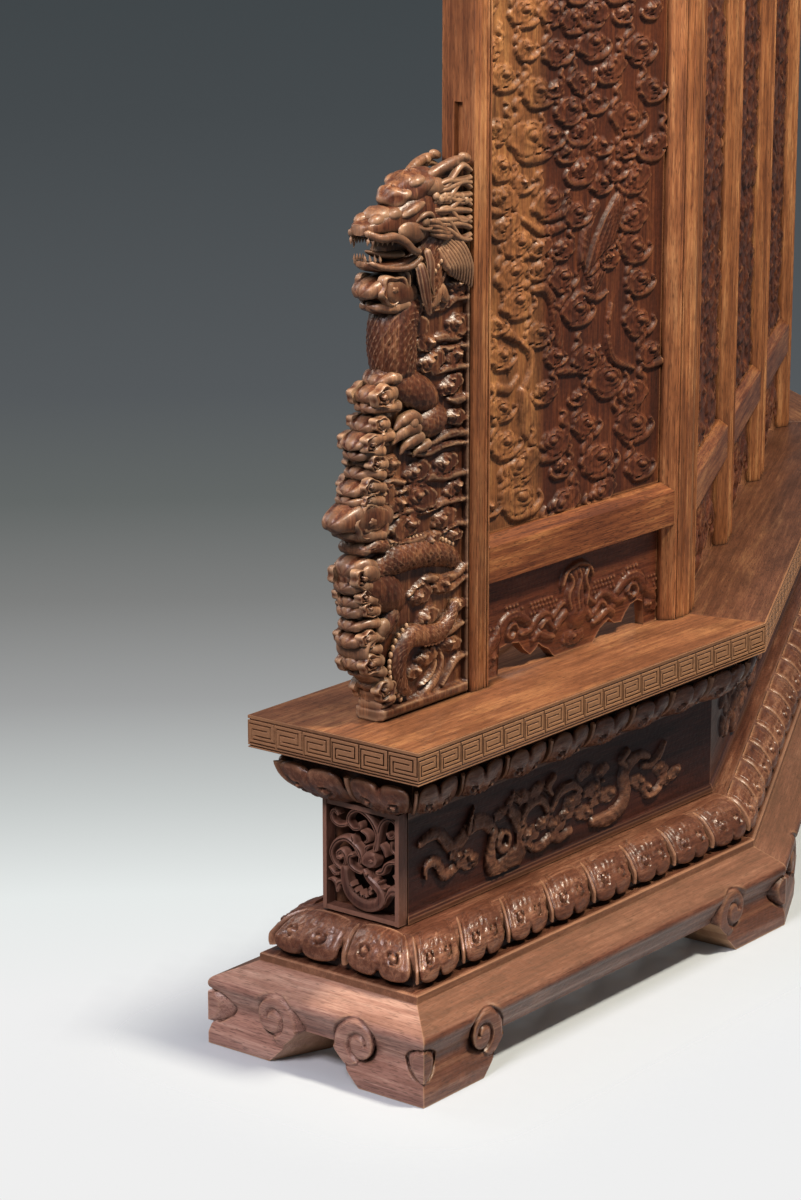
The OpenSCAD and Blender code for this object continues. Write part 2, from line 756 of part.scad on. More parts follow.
// The five leaves in their places
module leaf_left_wing() { wing(-1) translate([0, 0, ledge_top]) children(); }
module leaf_inner_left() { translate([-1.5 * middle_leaf_w, 0, ledge_top]) children(); }
module leaf_centre() { translate([-0.5 * middle_leaf_w, 0, ledge_top]) children(); }
module leaf_inner_right() { translate([0.5 * middle_leaf_w, 0, ledge_top]) children(); }
module leaf_right_wing() { wing(1) translate([0, 0, ledge_top]) children(); }

module wing_stiles() {
    difference() {
        leaf_stiles(wing_leaf_w, 1, 0);
        spandrel_groove(wing_leaf_w);
    }
}

module stiles_left_wing() { color(frame_colour) leaf_left_wing() wing_stiles(); }
module rails_left_wing() { color(frame_colour) leaf_left_wing() leaf_rails(wing_leaf_w); }
module panel_left_wing() { color(carved_colour) leaf_left_wing() leaf_panel(wing_leaf_w); }
module apron_left_wing() { color(carved_colour) leaf_left_wing() leaf_apron(wing_leaf_w); }
module brow_left_wing() { color(carved_colour) leaf_left_wing() leaf_brow(wing_leaf_w); }
module crest_left_wing() { color(board_colour) leaf_left_wing() crest(wing_leaf_w, wing_crest_h); }

module stiles_inner_left() { color(frame_colour) leaf_inner_left() leaf_stiles(middle_leaf_w, 1, 0); }
module rails_inner_left() { color(frame_colour) leaf_inner_left() leaf_rails(middle_leaf_w); }
module panel_inner_left() { color(carved_colour) leaf_inner_left() leaf_panel(middle_leaf_w); }
module apron_inner_left() { color(carved_colour) leaf_inner_left() leaf_apron(middle_leaf_w); }
module brow_inner_left() { color(carved_colour) leaf_inner_left() leaf_brow(middle_leaf_w); }
module crest_inner_left() { color(board_colour) leaf_inner_left() crest(middle_leaf_w, inner_crest_h); }

module stiles_centre() { color(frame_colour) leaf_centre() leaf_stiles(middle_leaf_w, 0, 0); }
module rails_centre() { color(frame_colour) leaf_centre() leaf_rails(middle_leaf_w); }
module panel_centre() { color(carved_colour) leaf_centre() leaf_panel(middle_leaf_w); }
module apron_centre() { color(carved_colour) leaf_centre() leaf_apron(middle_leaf_w); }
module brow_centre() { color(carved_colour) leaf_centre() leaf_brow(middle_leaf_w); }
module crest_centre() { color(board_colour) leaf_centre() crest(middle_leaf_w, centre_crest_h); }

module stiles_inner_right() { color(frame_colour) leaf_inner_right() leaf_stiles(middle_leaf_w, 0, 1); }
module rails_inner_right() { color(frame_colour) leaf_inner_right() leaf_rails(middle_leaf_w); }
module panel_inner_right() { color(carved_colour) leaf_inner_right() leaf_panel(middle_leaf_w); }
module apron_inner_right() { color(carved_colour) leaf_inner_right() leaf_apron(middle_leaf_w); }
module brow_inner_right() { color(carved_colour) leaf_inner_right() leaf_brow(middle_leaf_w); }
module crest_inner_right() { color(board_colour) leaf_inner_right() crest(middle_leaf_w, inner_crest_h); }

module stiles_right_wing() { color(frame_colour) leaf_right_wing() wing_stiles(); }
module rails_right_wing() { color(frame_colour) leaf_right_wing() leaf_rails(wing_leaf_w); }
module panel_right_wing() { color(carved_colour) leaf_right_wing() leaf_panel(wing_leaf_w); }
module apron_right_wing() { color(carved_colour) leaf_right_wing() leaf_apron(wing_leaf_w); }
module brow_right_wing() { color(carved_colour) leaf_right_wing() leaf_brow(wing_leaf_w); }
module crest_right_wing() { color(board_colour) leaf_right_wing() crest(wing_leaf_w, wing_crest_h); }

// Dragon spandrels, standing on the ledge against the outer stiles
module spandrel_shape(points) {
    polygon([for (p = points) [p[0] * spandrel_w, p[1] * spandrel_h]]);
}

module spandrel() {
    translate([wing_leaf_w, 0, ledge_top]) {
        translate([cavity_slack, 0, 0])
            rotate([90, 0, 0]) {
                linear_extrude(spandrel_ground_t, center = true) spandrel_shape(spandrel_outline);
                linear_extrude(spandrel_t, center = true)
                    intersection() {
                        for (form = spandrel_forms) spandrel_shape(form);
                        spandrel_shape(spandrel_outline);
                    }
            }
        translate([foot_tenon_x - foot_tenon_w / 2, -foot_tenon_t / 2, -tenon_len])
            cube([foot_tenon_w, foot_tenon_t, tenon_len + 1]);
        translate([-side_tongue_d, -side_tongue_t / 2, 0])
            cube([side_tongue_d + 1, side_tongue_t, spandrel_h * 0.98]);
    }
}

module spandrel_left() { color(carved_colour) wing(-1) spandrel(); }
module spandrel_right() { color(carved_colour) wing(1) spandrel(); }

// The origin is under the middle of the whole plan, from the middle rail's front
// to the outer back corners of the wings
plan_middle = (plinth_x * sin(turn_angle) + plinth_y * cos(turn_angle) - plinth_y) / 2;

module placed() { translate([0, -plan_middle, 0]) children(); }

placed() plinth_front_left();
placed() plinth_end_left();
placed() plinth_back_left();
placed() plinth_front_middle();
placed() plinth_back_middle();
placed() plinth_front_right();
placed() plinth_end_right();
placed() plinth_back_right();
placed() lotus_lower_left();
placed() lotus_lower_middle();
placed() lotus_lower_right();
placed() waist_boards_left();
placed() waist_boards_middle();
placed() waist_boards_right();
placed() waist_end_left();
placed() waist_end_right();
placed() waist_posts();
placed() lotus_upper_left();
placed() lotus_upper_middle();
placed() lotus_upper_right();
placed() ledge_left();
placed() ledge_middle();
placed() ledge_right();
placed() mitre_keys();
placed() stiles_left_wing();
placed() rails_left_wing();
placed() panel_left_wing();
placed() apron_left_wing();
placed() brow_left_wing();
placed() crest_left_wing();
placed() stiles_inner_left();
placed() rails_inner_left();
placed() panel_inner_left();
placed() apron_inner_left();
placed() brow_inner_left();
placed() crest_inner_left();
placed() stiles_centre();
placed() rails_centre();
placed() panel_centre();
placed() apron_centre();
placed() brow_centre();
placed() crest_centre();
placed() stiles_inner_right();
placed() rails_inner_right();
placed() panel_inner_right();
placed() apron_inner_right();
placed() brow_inner_right();
placed() crest_inner_right();
placed() stiles_right_wing();
placed() rails_right_wing();
placed() panel_right_wing();
placed() apron_right_wing();
placed() brow_right_wing();
placed() crest_right_wing();
placed() spandrel_left();
placed() spandrel_right();
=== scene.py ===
# Carved hardwood standing screen: five framed leaves on a mitred base with lotus mouldings.
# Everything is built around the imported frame, in the order in which the screen is put together. Points
# are worked out in mm and stored in metres.
import bmesh
import bpy
import math
import numpy as np
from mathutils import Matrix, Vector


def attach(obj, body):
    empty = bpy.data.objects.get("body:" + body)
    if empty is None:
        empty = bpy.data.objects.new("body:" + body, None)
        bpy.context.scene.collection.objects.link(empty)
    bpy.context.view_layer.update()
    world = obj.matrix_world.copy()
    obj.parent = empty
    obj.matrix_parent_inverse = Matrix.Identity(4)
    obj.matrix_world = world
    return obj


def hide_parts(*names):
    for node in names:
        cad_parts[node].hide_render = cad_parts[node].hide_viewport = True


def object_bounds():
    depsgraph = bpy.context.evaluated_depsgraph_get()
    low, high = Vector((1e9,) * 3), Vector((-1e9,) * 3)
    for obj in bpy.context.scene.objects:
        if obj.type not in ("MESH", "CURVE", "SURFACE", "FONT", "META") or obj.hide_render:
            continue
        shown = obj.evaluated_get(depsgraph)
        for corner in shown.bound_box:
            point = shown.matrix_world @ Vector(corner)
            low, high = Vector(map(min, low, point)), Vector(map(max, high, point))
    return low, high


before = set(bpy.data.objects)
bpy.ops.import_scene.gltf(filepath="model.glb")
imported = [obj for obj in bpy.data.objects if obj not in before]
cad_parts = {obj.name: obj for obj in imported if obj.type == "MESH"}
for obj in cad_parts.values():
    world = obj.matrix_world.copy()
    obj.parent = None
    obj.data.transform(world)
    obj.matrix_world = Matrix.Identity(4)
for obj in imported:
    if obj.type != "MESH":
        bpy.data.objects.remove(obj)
cad_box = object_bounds()


def linked(name, data):
    """New object of the scene."""
    made = bpy.data.objects.new(name, data)
    bpy.context.scene.collection.objects.link(made)
    return made


# Camera at the photograph's viewpoint: low to the left of the screen, so that the left wing's end
# comes towards the viewer. A long lens, as for a catalogue picture.
camera_data = bpy.data.cameras.new("catalogue_camera")
camera_data.lens = 100.54
camera_data.sensor_width = 36.0
camera = linked("catalogue_camera", camera_data)
camera.location = (-6.1424, -0.8814, 1.9167)
camera.rotation_euler = [math.radians(a) for a in (75.541, 0.0, -77.878)]
bpy.context.scene.camera = camera
bpy.context.scene.view_settings.view_transform = "Standard"


def linear(hex_colour):
    """sRGB hex colour to the linear values that a shader socket takes."""
    parts = [int(hex_colour[i:i + 2], 16) / 255 for i in (1, 3, 5)]
    return [c / 12.92 if c < 0.04045 else ((c + 0.055) / 1.055) ** 2.4 for c in parts] + [1.0]


def blank_tree(owner):
    """Emptied node tree of a new material or world."""
    owner.use_nodes = True
    owner.node_tree.nodes.clear()
    return owner.node_tree


def add(tree, kind, inputs=(), **settings):
    """Adds one node; inputs maps a socket's name or number to a value or to another node's output."""
    made = tree.nodes.new(kind)
    for name, value in settings.items():
        setattr(made, name, value)
    for key, value in dict(inputs).items():
        if isinstance(value, bpy.types.NodeSocket):
            tree.links.new(value, made.inputs[key])
        else:
            made.inputs[key].default_value = value
    return made


def ramp(tree, factor, stops):
    """Colour ramp from (place, hex colour) stops."""
    made = add(tree, "ShaderNodeValToRGB", {"Fac": factor})
    while len(made.color_ramp.elements) < len(stops):
        made.color_ramp.elements.new(0.5)
    for element, (place, colour) in zip(made.color_ramp.elements, stops):
        element.position = place
        element.color = linear(colour)
    return made.outputs["Color"]


# Studio lamps: a soft box high in front of the screen, a second one beyond its left end, a weak fill
# on the viewer's side and one at the back. With the room light a colour shows about as it is written.
screen_middle = (-0.75, 0.0, 0.9)


def soft_box(name, place, size, watts, tint):
    """Square-edged lamp turned to the middle of the screen; size is across and up, in metres."""
    lamp = bpy.data.lights.new(name, "AREA")
    lamp.shape = "RECTANGLE"
    lamp.size, lamp.size_y = size
    lamp.energy = watts
    lamp.color = linear(tint)[:3]
    lamp_object = linked(name, lamp)
    lamp_object.location = place
    aim = np.array(screen_middle) - np.array(place)
    flat = math.hypot(aim[0], aim[1])
    lamp_object.rotation_euler = (math.atan2(flat, -aim[2]), 0.0, math.atan2(aim[1], aim[0]) - math.pi / 2)


soft_box("key_box", (-1.7, -2.2, 4.8), (0.6, 0.6), 310, "#ffefd8")
soft_box("side_box", (-4.8, 1.2, 4.2), (1.6, 1.6), 210, "#fff0f2")
soft_box("front_fill", (-4.2, -4.8, 1.8), (3.0, 2.4), 14, "#f4f6ff")
soft_box("back_box", (1.0, 5.2, 3.6), (3.2, 2.4), 80, "#fff6ee")

# Room: even pale light for the object. The camera sees a paper backdrop behind the floor, which
# goes from pale at the foot to slate grey above, read from the direction of the view ray.
world = bpy.data.worlds.new("studio_room")
bpy.context.scene.world = world
tree = blank_tree(world)
ray = add(tree, "ShaderNodeTexCoord")
height = add(tree, "ShaderNodeSeparateXYZ", {0: ray.outputs["Generated"]})
sine_low, sine_high = -0.40, -0.06
level = add(tree, "ShaderNodeMapRange", {"Value": height.outputs["Z"], "From Min": sine_low, "From Max": sine_high})
paper = ramp(tree, level.outputs["Result"], [
    (0.0, "#efefef"), (0.115, "#efefef"), (0.20, "#e6eae9"), (0.275, "#c6cac9"), (0.36, "#9e9f9f"),
    (0.445, "#7e7f7e"), (0.53, "#636766"), (0.62, "#55595c"), (0.86, "#454a4d"), (1.0, "#3f4548")])
seen = add(tree, "ShaderNodeBackground", {"Color": paper, "Strength": 1.0})
even = add(tree, "ShaderNodeBackground", {"Color": linear("#dfe3ea"), "Strength": 0.15})
path = add(tree, "ShaderNodeLightPath")
choose = add(tree, "ShaderNodeMixShader", {0: path.outputs["Is Camera Ray"], 1: even.outputs[0], 2: seen.outputs[0]})
add(tree, "ShaderNodeOutputWorld", {"Surface": choose.outputs[0]})

# Plan of the base, shared by everything that runs round it. Eight corners at the ledge's edge,
# from the left wing's outer front corner along the front, round the right end and back.
turn = math.radians(26)
half_depth, middle_half, wing_run = 160.0, 810.0, 888.0
PLINTH_OUT = 46.0
plinth_run, plinth_half = wing_run + PLINTH_OUT, half_depth + PLINTH_OUT
plan_middle = (plinth_run * math.sin(turn) + plinth_half * math.cos(turn) - plinth_half) / 2


def wing_xy(side, x, y):
    """A point of a wing, x from the mitre outwards and y from front to back, in plan."""
    return side * (middle_half + x * math.cos(turn) - y * math.sin(turn)), x * math.sin(turn) + y * math.cos(turn)


lean = half_depth * math.tan(turn / 2)
plan = np.array([
    wing_xy(-1, wing_run, -half_depth), (-middle_half - lean, -half_depth),
    (middle_half + lean, -half_depth), wing_xy(1, wing_run, -half_depth),
    wing_xy(1, wing_run, half_depth), (middle_half - lean, half_depth),
    (-middle_half + lean, half_depth), wing_xy(-1, wing_run, half_depth)])
runs = np.roll(plan, -1, axis=0) - plan
run_length = np.linalg.norm(runs, axis=1)
outward = np.stack([runs[:, 1], -runs[:, 0]], axis=1) / run_length[:, None]
bisector = outward + np.roll(outward, 1, axis=0)
mitre_way = bisector / (1 + (outward * np.roll(outward, 1, axis=0)).sum(axis=1))[:, None]
LEFT_RUNS, MIDDLE_RUNS, RIGHT_RUNS = (6, 7, 0), (1, 5), (2, 3, 4)


def on_run(run, share, o, z):
    """Points at a share of a side of the plan, o mm outside the ledge's edge and z mm up, mitred at both ends."""
    share, o, z = (v.astype(float)[..., None] for v in np.broadcast_arrays(share, o, z))
    start = plan[run] + o * mitre_way[run]
    end = plan[(run + 1) % 8] + o * mitre_way[(run + 1) % 8]
    return np.concatenate([start + (end - start) * share, z], axis=-1)


def joined(shells):
    """Points and faces of several shells, each in one list."""
    points, faces, count = [], [], 0
    for shell_points, shell_faces in shells:
        points.append(np.asarray(shell_points, dtype=float).reshape(-1, 3))
        faces += [tuple(int(i) + count for i in face) for face in shell_faces]
        count += len(points[-1])
    return np.concatenate(points), faces


def wooden(name, shells, material, crease=38):
    """One mesh object from shells of (points in mm, faces): outside faces out, smooth up to the crease angle."""
    points, faces = joined(shells)
    mesh = bpy.data.meshes.new(name)
    mesh.from_pydata(((points - (0, plan_middle, 0)) / 1000).tolist(), [], faces)
    body = bmesh.new()
    body.from_mesh(mesh)
    bmesh.ops.recalc_face_normals(body, faces=body.faces)
    body.to_mesh(mesh)
    body.free()
    mesh.shade_smooth()
    mesh.set_sharp_from_angle(angle=math.radians(crease))
    mesh.materials.append(material)
    return linked(name, mesh)


def skin(rows, columns, wrap=False):
    """Faces of a grid of points stored row by row; wrap joins the last column to the first."""
    index = np.arange(rows * columns).reshape(rows, columns)
    if wrap:
        index = np.concatenate([index, index[:, :1]], axis=1)
    return np.stack([index[:-1, :-1], index[:-1, 1:], index[1:, 1:], index[1:, :-1]], axis=-1).reshape(-1, 4).tolist()


def loft(loops):
    """Closed shell through closed section loops, with a flat face on each end."""
    loops = np.asarray(loops)
    count, around = loops.shape[:2]
    faces = skin(count, around, wrap=True)
    faces.append(list(range(around)))
    faces.append(list(range((count - 1) * around, count * around))[::-1])
    return loops.reshape(-1, 3), faces


def clamp(value):
    """Value kept between 0 and 1."""
    return np.clip(value, 0, 1)


# Floor: matt pale paper that keeps the screen's shadow and fades into the backdrop away from it.
floor_reach, floor_cell = 1.9, 0.06
floor_x, floor_y = np.meshgrid(
    np.arange(cad_box[0][0] - floor_reach, cad_box[1][0] + floor_reach, floor_cell),
    np.arange(cad_box[0][1] - floor_reach, cad_box[1][1] + floor_reach, floor_cell))
away = np.full(floor_x.shape, np.inf)
for start, run in zip(plan, runs):
    from_start = np.stack([floor_x * 1000 - start[0], floor_y * 1000 + plan_middle - start[1]], axis=-1)
    share = clamp((from_start @ run) / (run @ run))
    away = np.minimum(away, np.linalg.norm(from_start - share[..., None] * run, axis=-1) / 1000)
fade_near, fade_far = 0.02, 0.34
fade = clamp((away - fade_near) / (fade_far - fade_near))
fade = fade * fade * (3 - 2 * fade)
floor_mesh = bpy.data.meshes.new("studio_floor")
floor_drop = -0.0005
floor_points = np.stack([floor_x, floor_y, np.full(floor_x.shape, floor_drop)], axis=-1).reshape(-1, 3)
floor_mesh.from_pydata(floor_points.tolist(), [], skin(*floor_x.shape))
floor_mesh.attributes.new("fade", "FLOAT", "POINT").data.foreach_set("value", fade.ravel())
studio_floor = linked("studio_floor", floor_mesh)
floor_paper = bpy.data.materials.new("matt_floor_paper")
tree = blank_tree(floor_paper)
paper_face = add(tree, "ShaderNodeBsdfPrincipled", {"Base Color": linear("#c2cdd6"), "Roughness": 0.9,
                                                    "Specular IOR Level": 0.1})
clear = add(tree, "ShaderNodeBsdfTransparent")
spread = add(tree, "ShaderNodeAttribute", attribute_name="fade")
floor_mix = add(tree, "ShaderNodeMixShader", {0: spread.outputs["Fac"], 1: paper_face.outputs[0],
                                              2: clear.outputs[0]})
add(tree, "ShaderNodeOutputMaterial", {"Surface": floor_mix.outputs[0]})
floor_mesh.materials.append(floor_paper)

# Plinth: eight mitred rails of oiled rosewood round the foot, each cut to an arch between two feet.
# A scroll is carved on each foot beside the arch and a bud on each corner.
ALONG_X, UPRIGHT = (0, 0, 0), (0, math.pi / 2, 0)
GRAIN = {"middle": ALONG_X, "left": (0, 0, turn), "right": (0, 0, -turn),
         "left_end": (0, 0, turn + math.pi / 2), "right_end": (0, 0, -turn + math.pi / 2), "up": UPRIGHT}


def rosewood(name, grain, dark, middle, light, polish=0.40, carved=True, recess="#160a06", worn="#b98a63",
             figure=1.0, dirt_and_shade_reach=0.016, pale_relief_and_light=None, painted_top_light=0.0):
    """Oiled and waxed rosewood, planed or carved: straight grain about 8 mm wide with fine dark pores
    along it, wax and dust together with painted shade darkening the hollows, pale rubbed edges where it
    is carved, and where asked painted light that makes the faces pointing up paler."""
    material = bpy.data.materials.new(name)
    tree = blank_tree(material)
    where = add(tree, "ShaderNodeTexCoord").outputs["Object"]
    turned = add(tree, "ShaderNodeMapping", {"Vector": where, "Rotation": grain}).outputs[0]

    def noise(scale, **settings):
        """Noise along the grain, stretched by a scale for each axis."""
        stretched = add(tree, "ShaderNodeMapping", {"Vector": turned, "Scale": scale}).outputs[0]
        return add(tree, "ShaderNodeTexNoise", {"Vector": stretched, "Scale": 1.0, **settings}).outputs["Fac"]

    def graded(value, low, high, top=1.0, foot=0.0):
        """Value taken from the range low to high to the range foot to top."""
        return add(tree, "ShaderNodeMapRange", {
            "Value": value, "From Min": low, "From Max": high, "To Min": foot, "To Max": top}).outputs[0]

    def mixed(factor, under, over):
        """One colour laid over another by a factor."""
        return add(tree, "ShaderNodeMix", {"Factor": factor, 6: under, 7: over}, data_type="RGBA").outputs[2]

    def worked(operation, *values):
        """Arithmetic on plain values."""
        return add(tree, "ShaderNodeMath", dict(enumerate(values)), operation=operation).outputs[0]

    # Broad figure 60 mm wide, growth rings 8 mm, fibre 2 mm. Real pores are 0.2 mm wide; they are drawn
    # 1.2 mm wide and 14 mm long so that they show at the picture's scale.
    broad = noise((3.0, 20.0, 20.0), Detail=3.0)
    rings = noise((5.0, 120.0, 120.0), Detail=2.0, Distortion=0.6)
    fibre = noise((22.0, 520.0, 520.0), Detail=1.0)
    pores = graded(noise((70.0, 800.0, 800.0), Detail=0.0), 0.60, 0.70)
    figured = worked("MULTIPLY_ADD", fibre, 0.55, worked("ADD", rings, broad))
    middling, reach = 1.275, 0.33 / figure
    grade = graded(figured, middling - reach, middling + reach)
    colour = ramp(tree, grade, [(0.0, dark), (0.5, middle), (1.0, light)])
    # Paler colour where the piece asks for it: raised carving on the waist boards, and painted light along the
    # panels' left sides.
    if pale_relief_and_light:
        board = add(tree, "ShaderNodeAttribute", attribute_name="pale_relief_and_painted_light").outputs["Fac"]
        colour = mixed(board, colour, ramp(tree, grade, [(0.0, pale_relief_and_light[0]), (0.5, pale_relief_and_light[1]), (1.0, pale_relief_and_light[2])]))
    # Old stain lies in clouds 60 mm wide and drawn out along the grain.
    stain = graded(noise((7.0, 19.0, 19.0), Detail=6.0, Roughness=0.72), 0.46, 0.66, 0.66)
    colour = mixed(stain, colour, linear(dark))
    colour = mixed(worked("MULTIPLY", pores, 0.45), colour, linear(recess))
    # Wax and dust in the hollows together with painted shade: the recess colour is mixed in where ambient occlusion
    # finds the surface enclosed.
    hollow_dirt_and_shade = add(tree, "ShaderNodeAmbientOcclusion", {"Distance": dirt_and_shade_reach}, samples=6).outputs["AO"]
    colour = mixed(graded(hollow_dirt_and_shade, 0.80, 0.22, 0.92), colour, linear(recess))
    if carved:
        edges = add(tree, "ShaderNodeNewGeometry").outputs["Pointiness"]
        colour = mixed(graded(edges, 0.515, 0.60, 0.62), colour, linear(worn))
    # Painted light: faces that point up are mixed toward the pale worn colour, more the more they face up.
    if painted_top_light:
        facing = add(tree, "ShaderNodeSeparateXYZ", {0: add(tree, "ShaderNodeNewGeometry").outputs["Normal"]})
        colour = mixed(graded(facing.outputs["Z"], 0.5, 0.95, painted_top_light), colour, linear(worn))
    rough = graded(figured, 0.8, 1.75, polish - 0.05, polish + 0.10)
    fine = worked("MULTIPLY_ADD", pores, -0.8, fibre)
    bump = add(tree, "ShaderNodeBump", {"Height": fine, "Strength": 0.35, "Distance": 0.0006}).outputs[0]
    if carved:
        # Facets left by the gouge, about 7 mm across and 0.5 mm deep.
        facets = add(tree, "ShaderNodeTexVoronoi", {"Vector": where, "Scale": 140.0}, feature="SMOOTH_F1")
        bump = add(tree, "ShaderNodeBump", {"Height": facets.outputs["Distance"], "Normal": bump, "Strength": 0.55,
                                            "Distance": 0.0012}).outputs[0]
    face = add(tree, "ShaderNodeBsdfPrincipled", {
        "Base Color": colour, "Roughness": rough, "Normal": bump, "IOR": 1.5, "Coat Weight": 0.12,
        "Coat Roughness": 0.22})
    add(tree, "ShaderNodeOutputMaterial", {"Surface": face.outputs[0]})
    return material


def bell(distance, width):
    """Smooth peak: 1 at no distance, fading over width."""
    return np.exp(-(distance / width) ** 2)


def quarter_round(distance, width):
    """Height of a rounded edge: 0 at the edge, 1 from width mm inwards."""
    return np.sqrt(clamp(1 - (1 - clamp(distance / width)) ** 2))


# Moulded face of a rail: upright foot band, cove, round nose and a long slope up to the lotus.
rail_face = [(PLINTH_OUT, 0), (PLINTH_OUT, 18)]
rail_face += [(50 + 19 * math.cos(a), 57 + 19 * math.sin(a)) for a in np.radians(np.linspace(235, 135, 9))]
rail_face += [(34 + 12 * math.cos(a), 96 + 12 * math.sin(a)) for a in np.radians(np.linspace(-45, 70, 12))]
rail_face += [(-15, 131)]
rail_o, rail_z = np.array(rail_face).T
RAIL_BACK, ARCH_TOP, PLINTH_TOP = -64.0, 57.0, 131.0


def scroll_mark(du, dz):
    """Flat scroll face, 1 inside, and the depth of the spiral groove; du points from the toe to the arch."""
    angle = np.arctan2(dz, du)
    radius = np.hypot(du, dz)
    edge = np.interp(np.degrees(angle), (-180, -120, -90, -70, -48, -9, 40, 90, 180),
                     (28, 25.5, 26, 38, 46, 53, 45, 37, 28))
    face = clamp((edge - radius) / 2.0)
    groove = np.zeros_like(radius)
    for lap in (0, 360, 720):
        lap_angle = np.degrees(angle) + lap
        line = np.interp(lap_angle, (-9, 40, 90, 180, 270, 360, 450, 540), (51, 44, 37, 28, 24.5, 20, 15, 11))
        near = bell(radius - line, 3.5)
        groove = np.maximum(groove, np.where((lap_angle > -12) & (lap_angle < 545), near, 0))
    return face, groove


def foot_edge(beyond):
    """Height of the underside beyond the toe, up the cut edge and round the scroll to the arch."""
    return np.interp(beyond, (0, 24, 24.5, 29, 38, 46, 52, 60), (0, 24, 31, 34, 42, 50, 57, ARCH_TOP))


def bud_mark(du, dz):
    """Bud on a corner: flush face with a pointed foot, and the groove round it."""
    half = np.interp(dz, (35, 38, 43, 50, 58, 66, 73, 78, 82, 84), (3, 10, 16, 21, 24, 25, 23, 18, 11, 3),
                     left=-8, right=-8)
    inside = half - np.abs(du)
    return clamp(inside / 2.0), bell(inside + 2.6, 3.8) * ((dz > 30) & (dz < 90))


def plinth_rail(run, toe_start, toe_end):
    """One rail as a closed loft: its moulding's sections along its length, with feet, scrolls and buds."""
    face = on_run(run, np.array([0.0, 1.0]), PLINTH_OUT, 0.0)
    length = np.linalg.norm(face[1] - face[0])
    fine, coarse = 2.3, 30.0
    along = np.concatenate([
        np.arange(0, 38, fine), np.arange(toe_start - 34, toe_start + 62, fine),
        np.arange(toe_start + 62, length - toe_end - 62, coarse),
        np.arange(length - toe_end - 62, length - toe_end + 34, fine), np.arange(length - 38, length, fine)])
    along = np.unique(along[(along > 0.5) & (along < length - 1)].round(3))
    along = np.concatenate([[0.0], along, [length]])[:, None]
    toes = ((along, toe_start), (length - along, toe_end))
    low = np.minimum(*(foot_edge(np.maximum(place - toe, 0)) for place, toe in toes))
    split = ARCH_TOP + 5
    rise = np.linspace(0, 1, 26)[None, :]
    upper = np.concatenate([np.linspace(split, 108, 24)[1:], np.linspace(108, PLINTH_TOP, 6)[1:]])
    z = np.concatenate([low + (split - low) * rise, np.broadcast_to(upper, (len(along), len(upper)))], axis=1)
    o = np.interp(z, rail_z, rail_o)
    for place, toe in toes:
        flat, groove = scroll_mark(place - toe, z - 66)
        o = o + flat * (44.5 - o) - 5.4 * groove
        flush, ring = bud_mark(place, z)
        o = o + flush * np.maximum(PLINTH_OUT - o, 0) - 6.0 * ring
    back = np.full((len(along), 1), RAIL_BACK)
    o = np.concatenate([o, back, back], axis=1)
    z = np.concatenate([z, np.full((len(along), 1), PLINTH_TOP), low], axis=1)
    return loft(on_run(run, along / length, o, z))


END_TOE, FRONT_TOE, MITRE_TOE = 121.0, 145.0, 150.0
rails = {  # node: side of the plan, toe at its start, toe at its end, grain
    "plinth_back_left": (6, MITRE_TOE, FRONT_TOE, "left"), "plinth_end_left": (7, END_TOE, END_TOE, "left_end"),
    "plinth_front_left": (0, FRONT_TOE, MITRE_TOE, "left"),
    "plinth_front_middle": (1, MITRE_TOE, MITRE_TOE, "middle"),
    "plinth_front_right": (2, MITRE_TOE, FRONT_TOE, "right"), "plinth_end_right": (3, END_TOE, END_TOE, "right_end"),
    "plinth_back_right": (4, FRONT_TOE, MITRE_TOE, "right"),
    "plinth_back_middle": (5, MITRE_TOE, MITRE_TOE, "middle")}
# Painted light: the end rails get lighter tones and the front and back rails darker ones, lit and shaded copies of
# the same rosewood; all their tops are painted paler too.
LIT_END_TONES, SHADED_FACE_TONES = ("#764e42", "#ae8374", "#d3af9d"), ("#472819", "#6f4432", "#946953")
plinth_wood = {way: rosewood(f"oiled_rosewood_plinth_{way}", GRAIN[way], *tones,
                             polish=0.46, recess="#241009", worn="#cda27c", figure=0.75, painted_top_light=0.12)
               for way in GRAIN if way != "up" for tones in [LIT_END_TONES if "end" in way else SHADED_FACE_TONES]}
for node, (run, toe_start, toe_end, way) in rails.items():
    rail = wooden(f"{node}_rail", [plinth_rail(run, toe_start, toe_end)], plinth_wood[way])
    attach(rail, "base")
    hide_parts(node)

# Lotus mouldings: two mitred blocks of rosewood round the base, below and above the waist, carved
# with a row of hanging petals. Each petal has two lobes, two scrolled eyes and a leaf between them.
# A wide reach of hollow darkening: wax and dust together with painted shade under the petals.
carved_wood = {way: rosewood(f"waxed_rosewood_carved_{way}", GRAIN[way], "#4a281a", "#744936", "#a87a5f",
                             polish=0.30, worn="#d0a07c", figure=0.8, dirt_and_shade_reach=0.028) for way in GRAIN}
NEAR_ENDS = (0.0, 0.003, 0.997, 1.0)


def crisp(section, gap=2.0):
    """Closed section with more points gap mm from its corners, so that only its arrises look rubbed."""
    section, points = np.asarray(section, dtype=float), []
    for start, end in zip(section, np.roll(section, -1, axis=0)):
        side = np.linalg.norm(end - start)
        points.append(start)
        if side > 3 * gap:
            points += [start + (end - start) * gap / side, end - (end - start) * gap / side]
    return np.array(points)


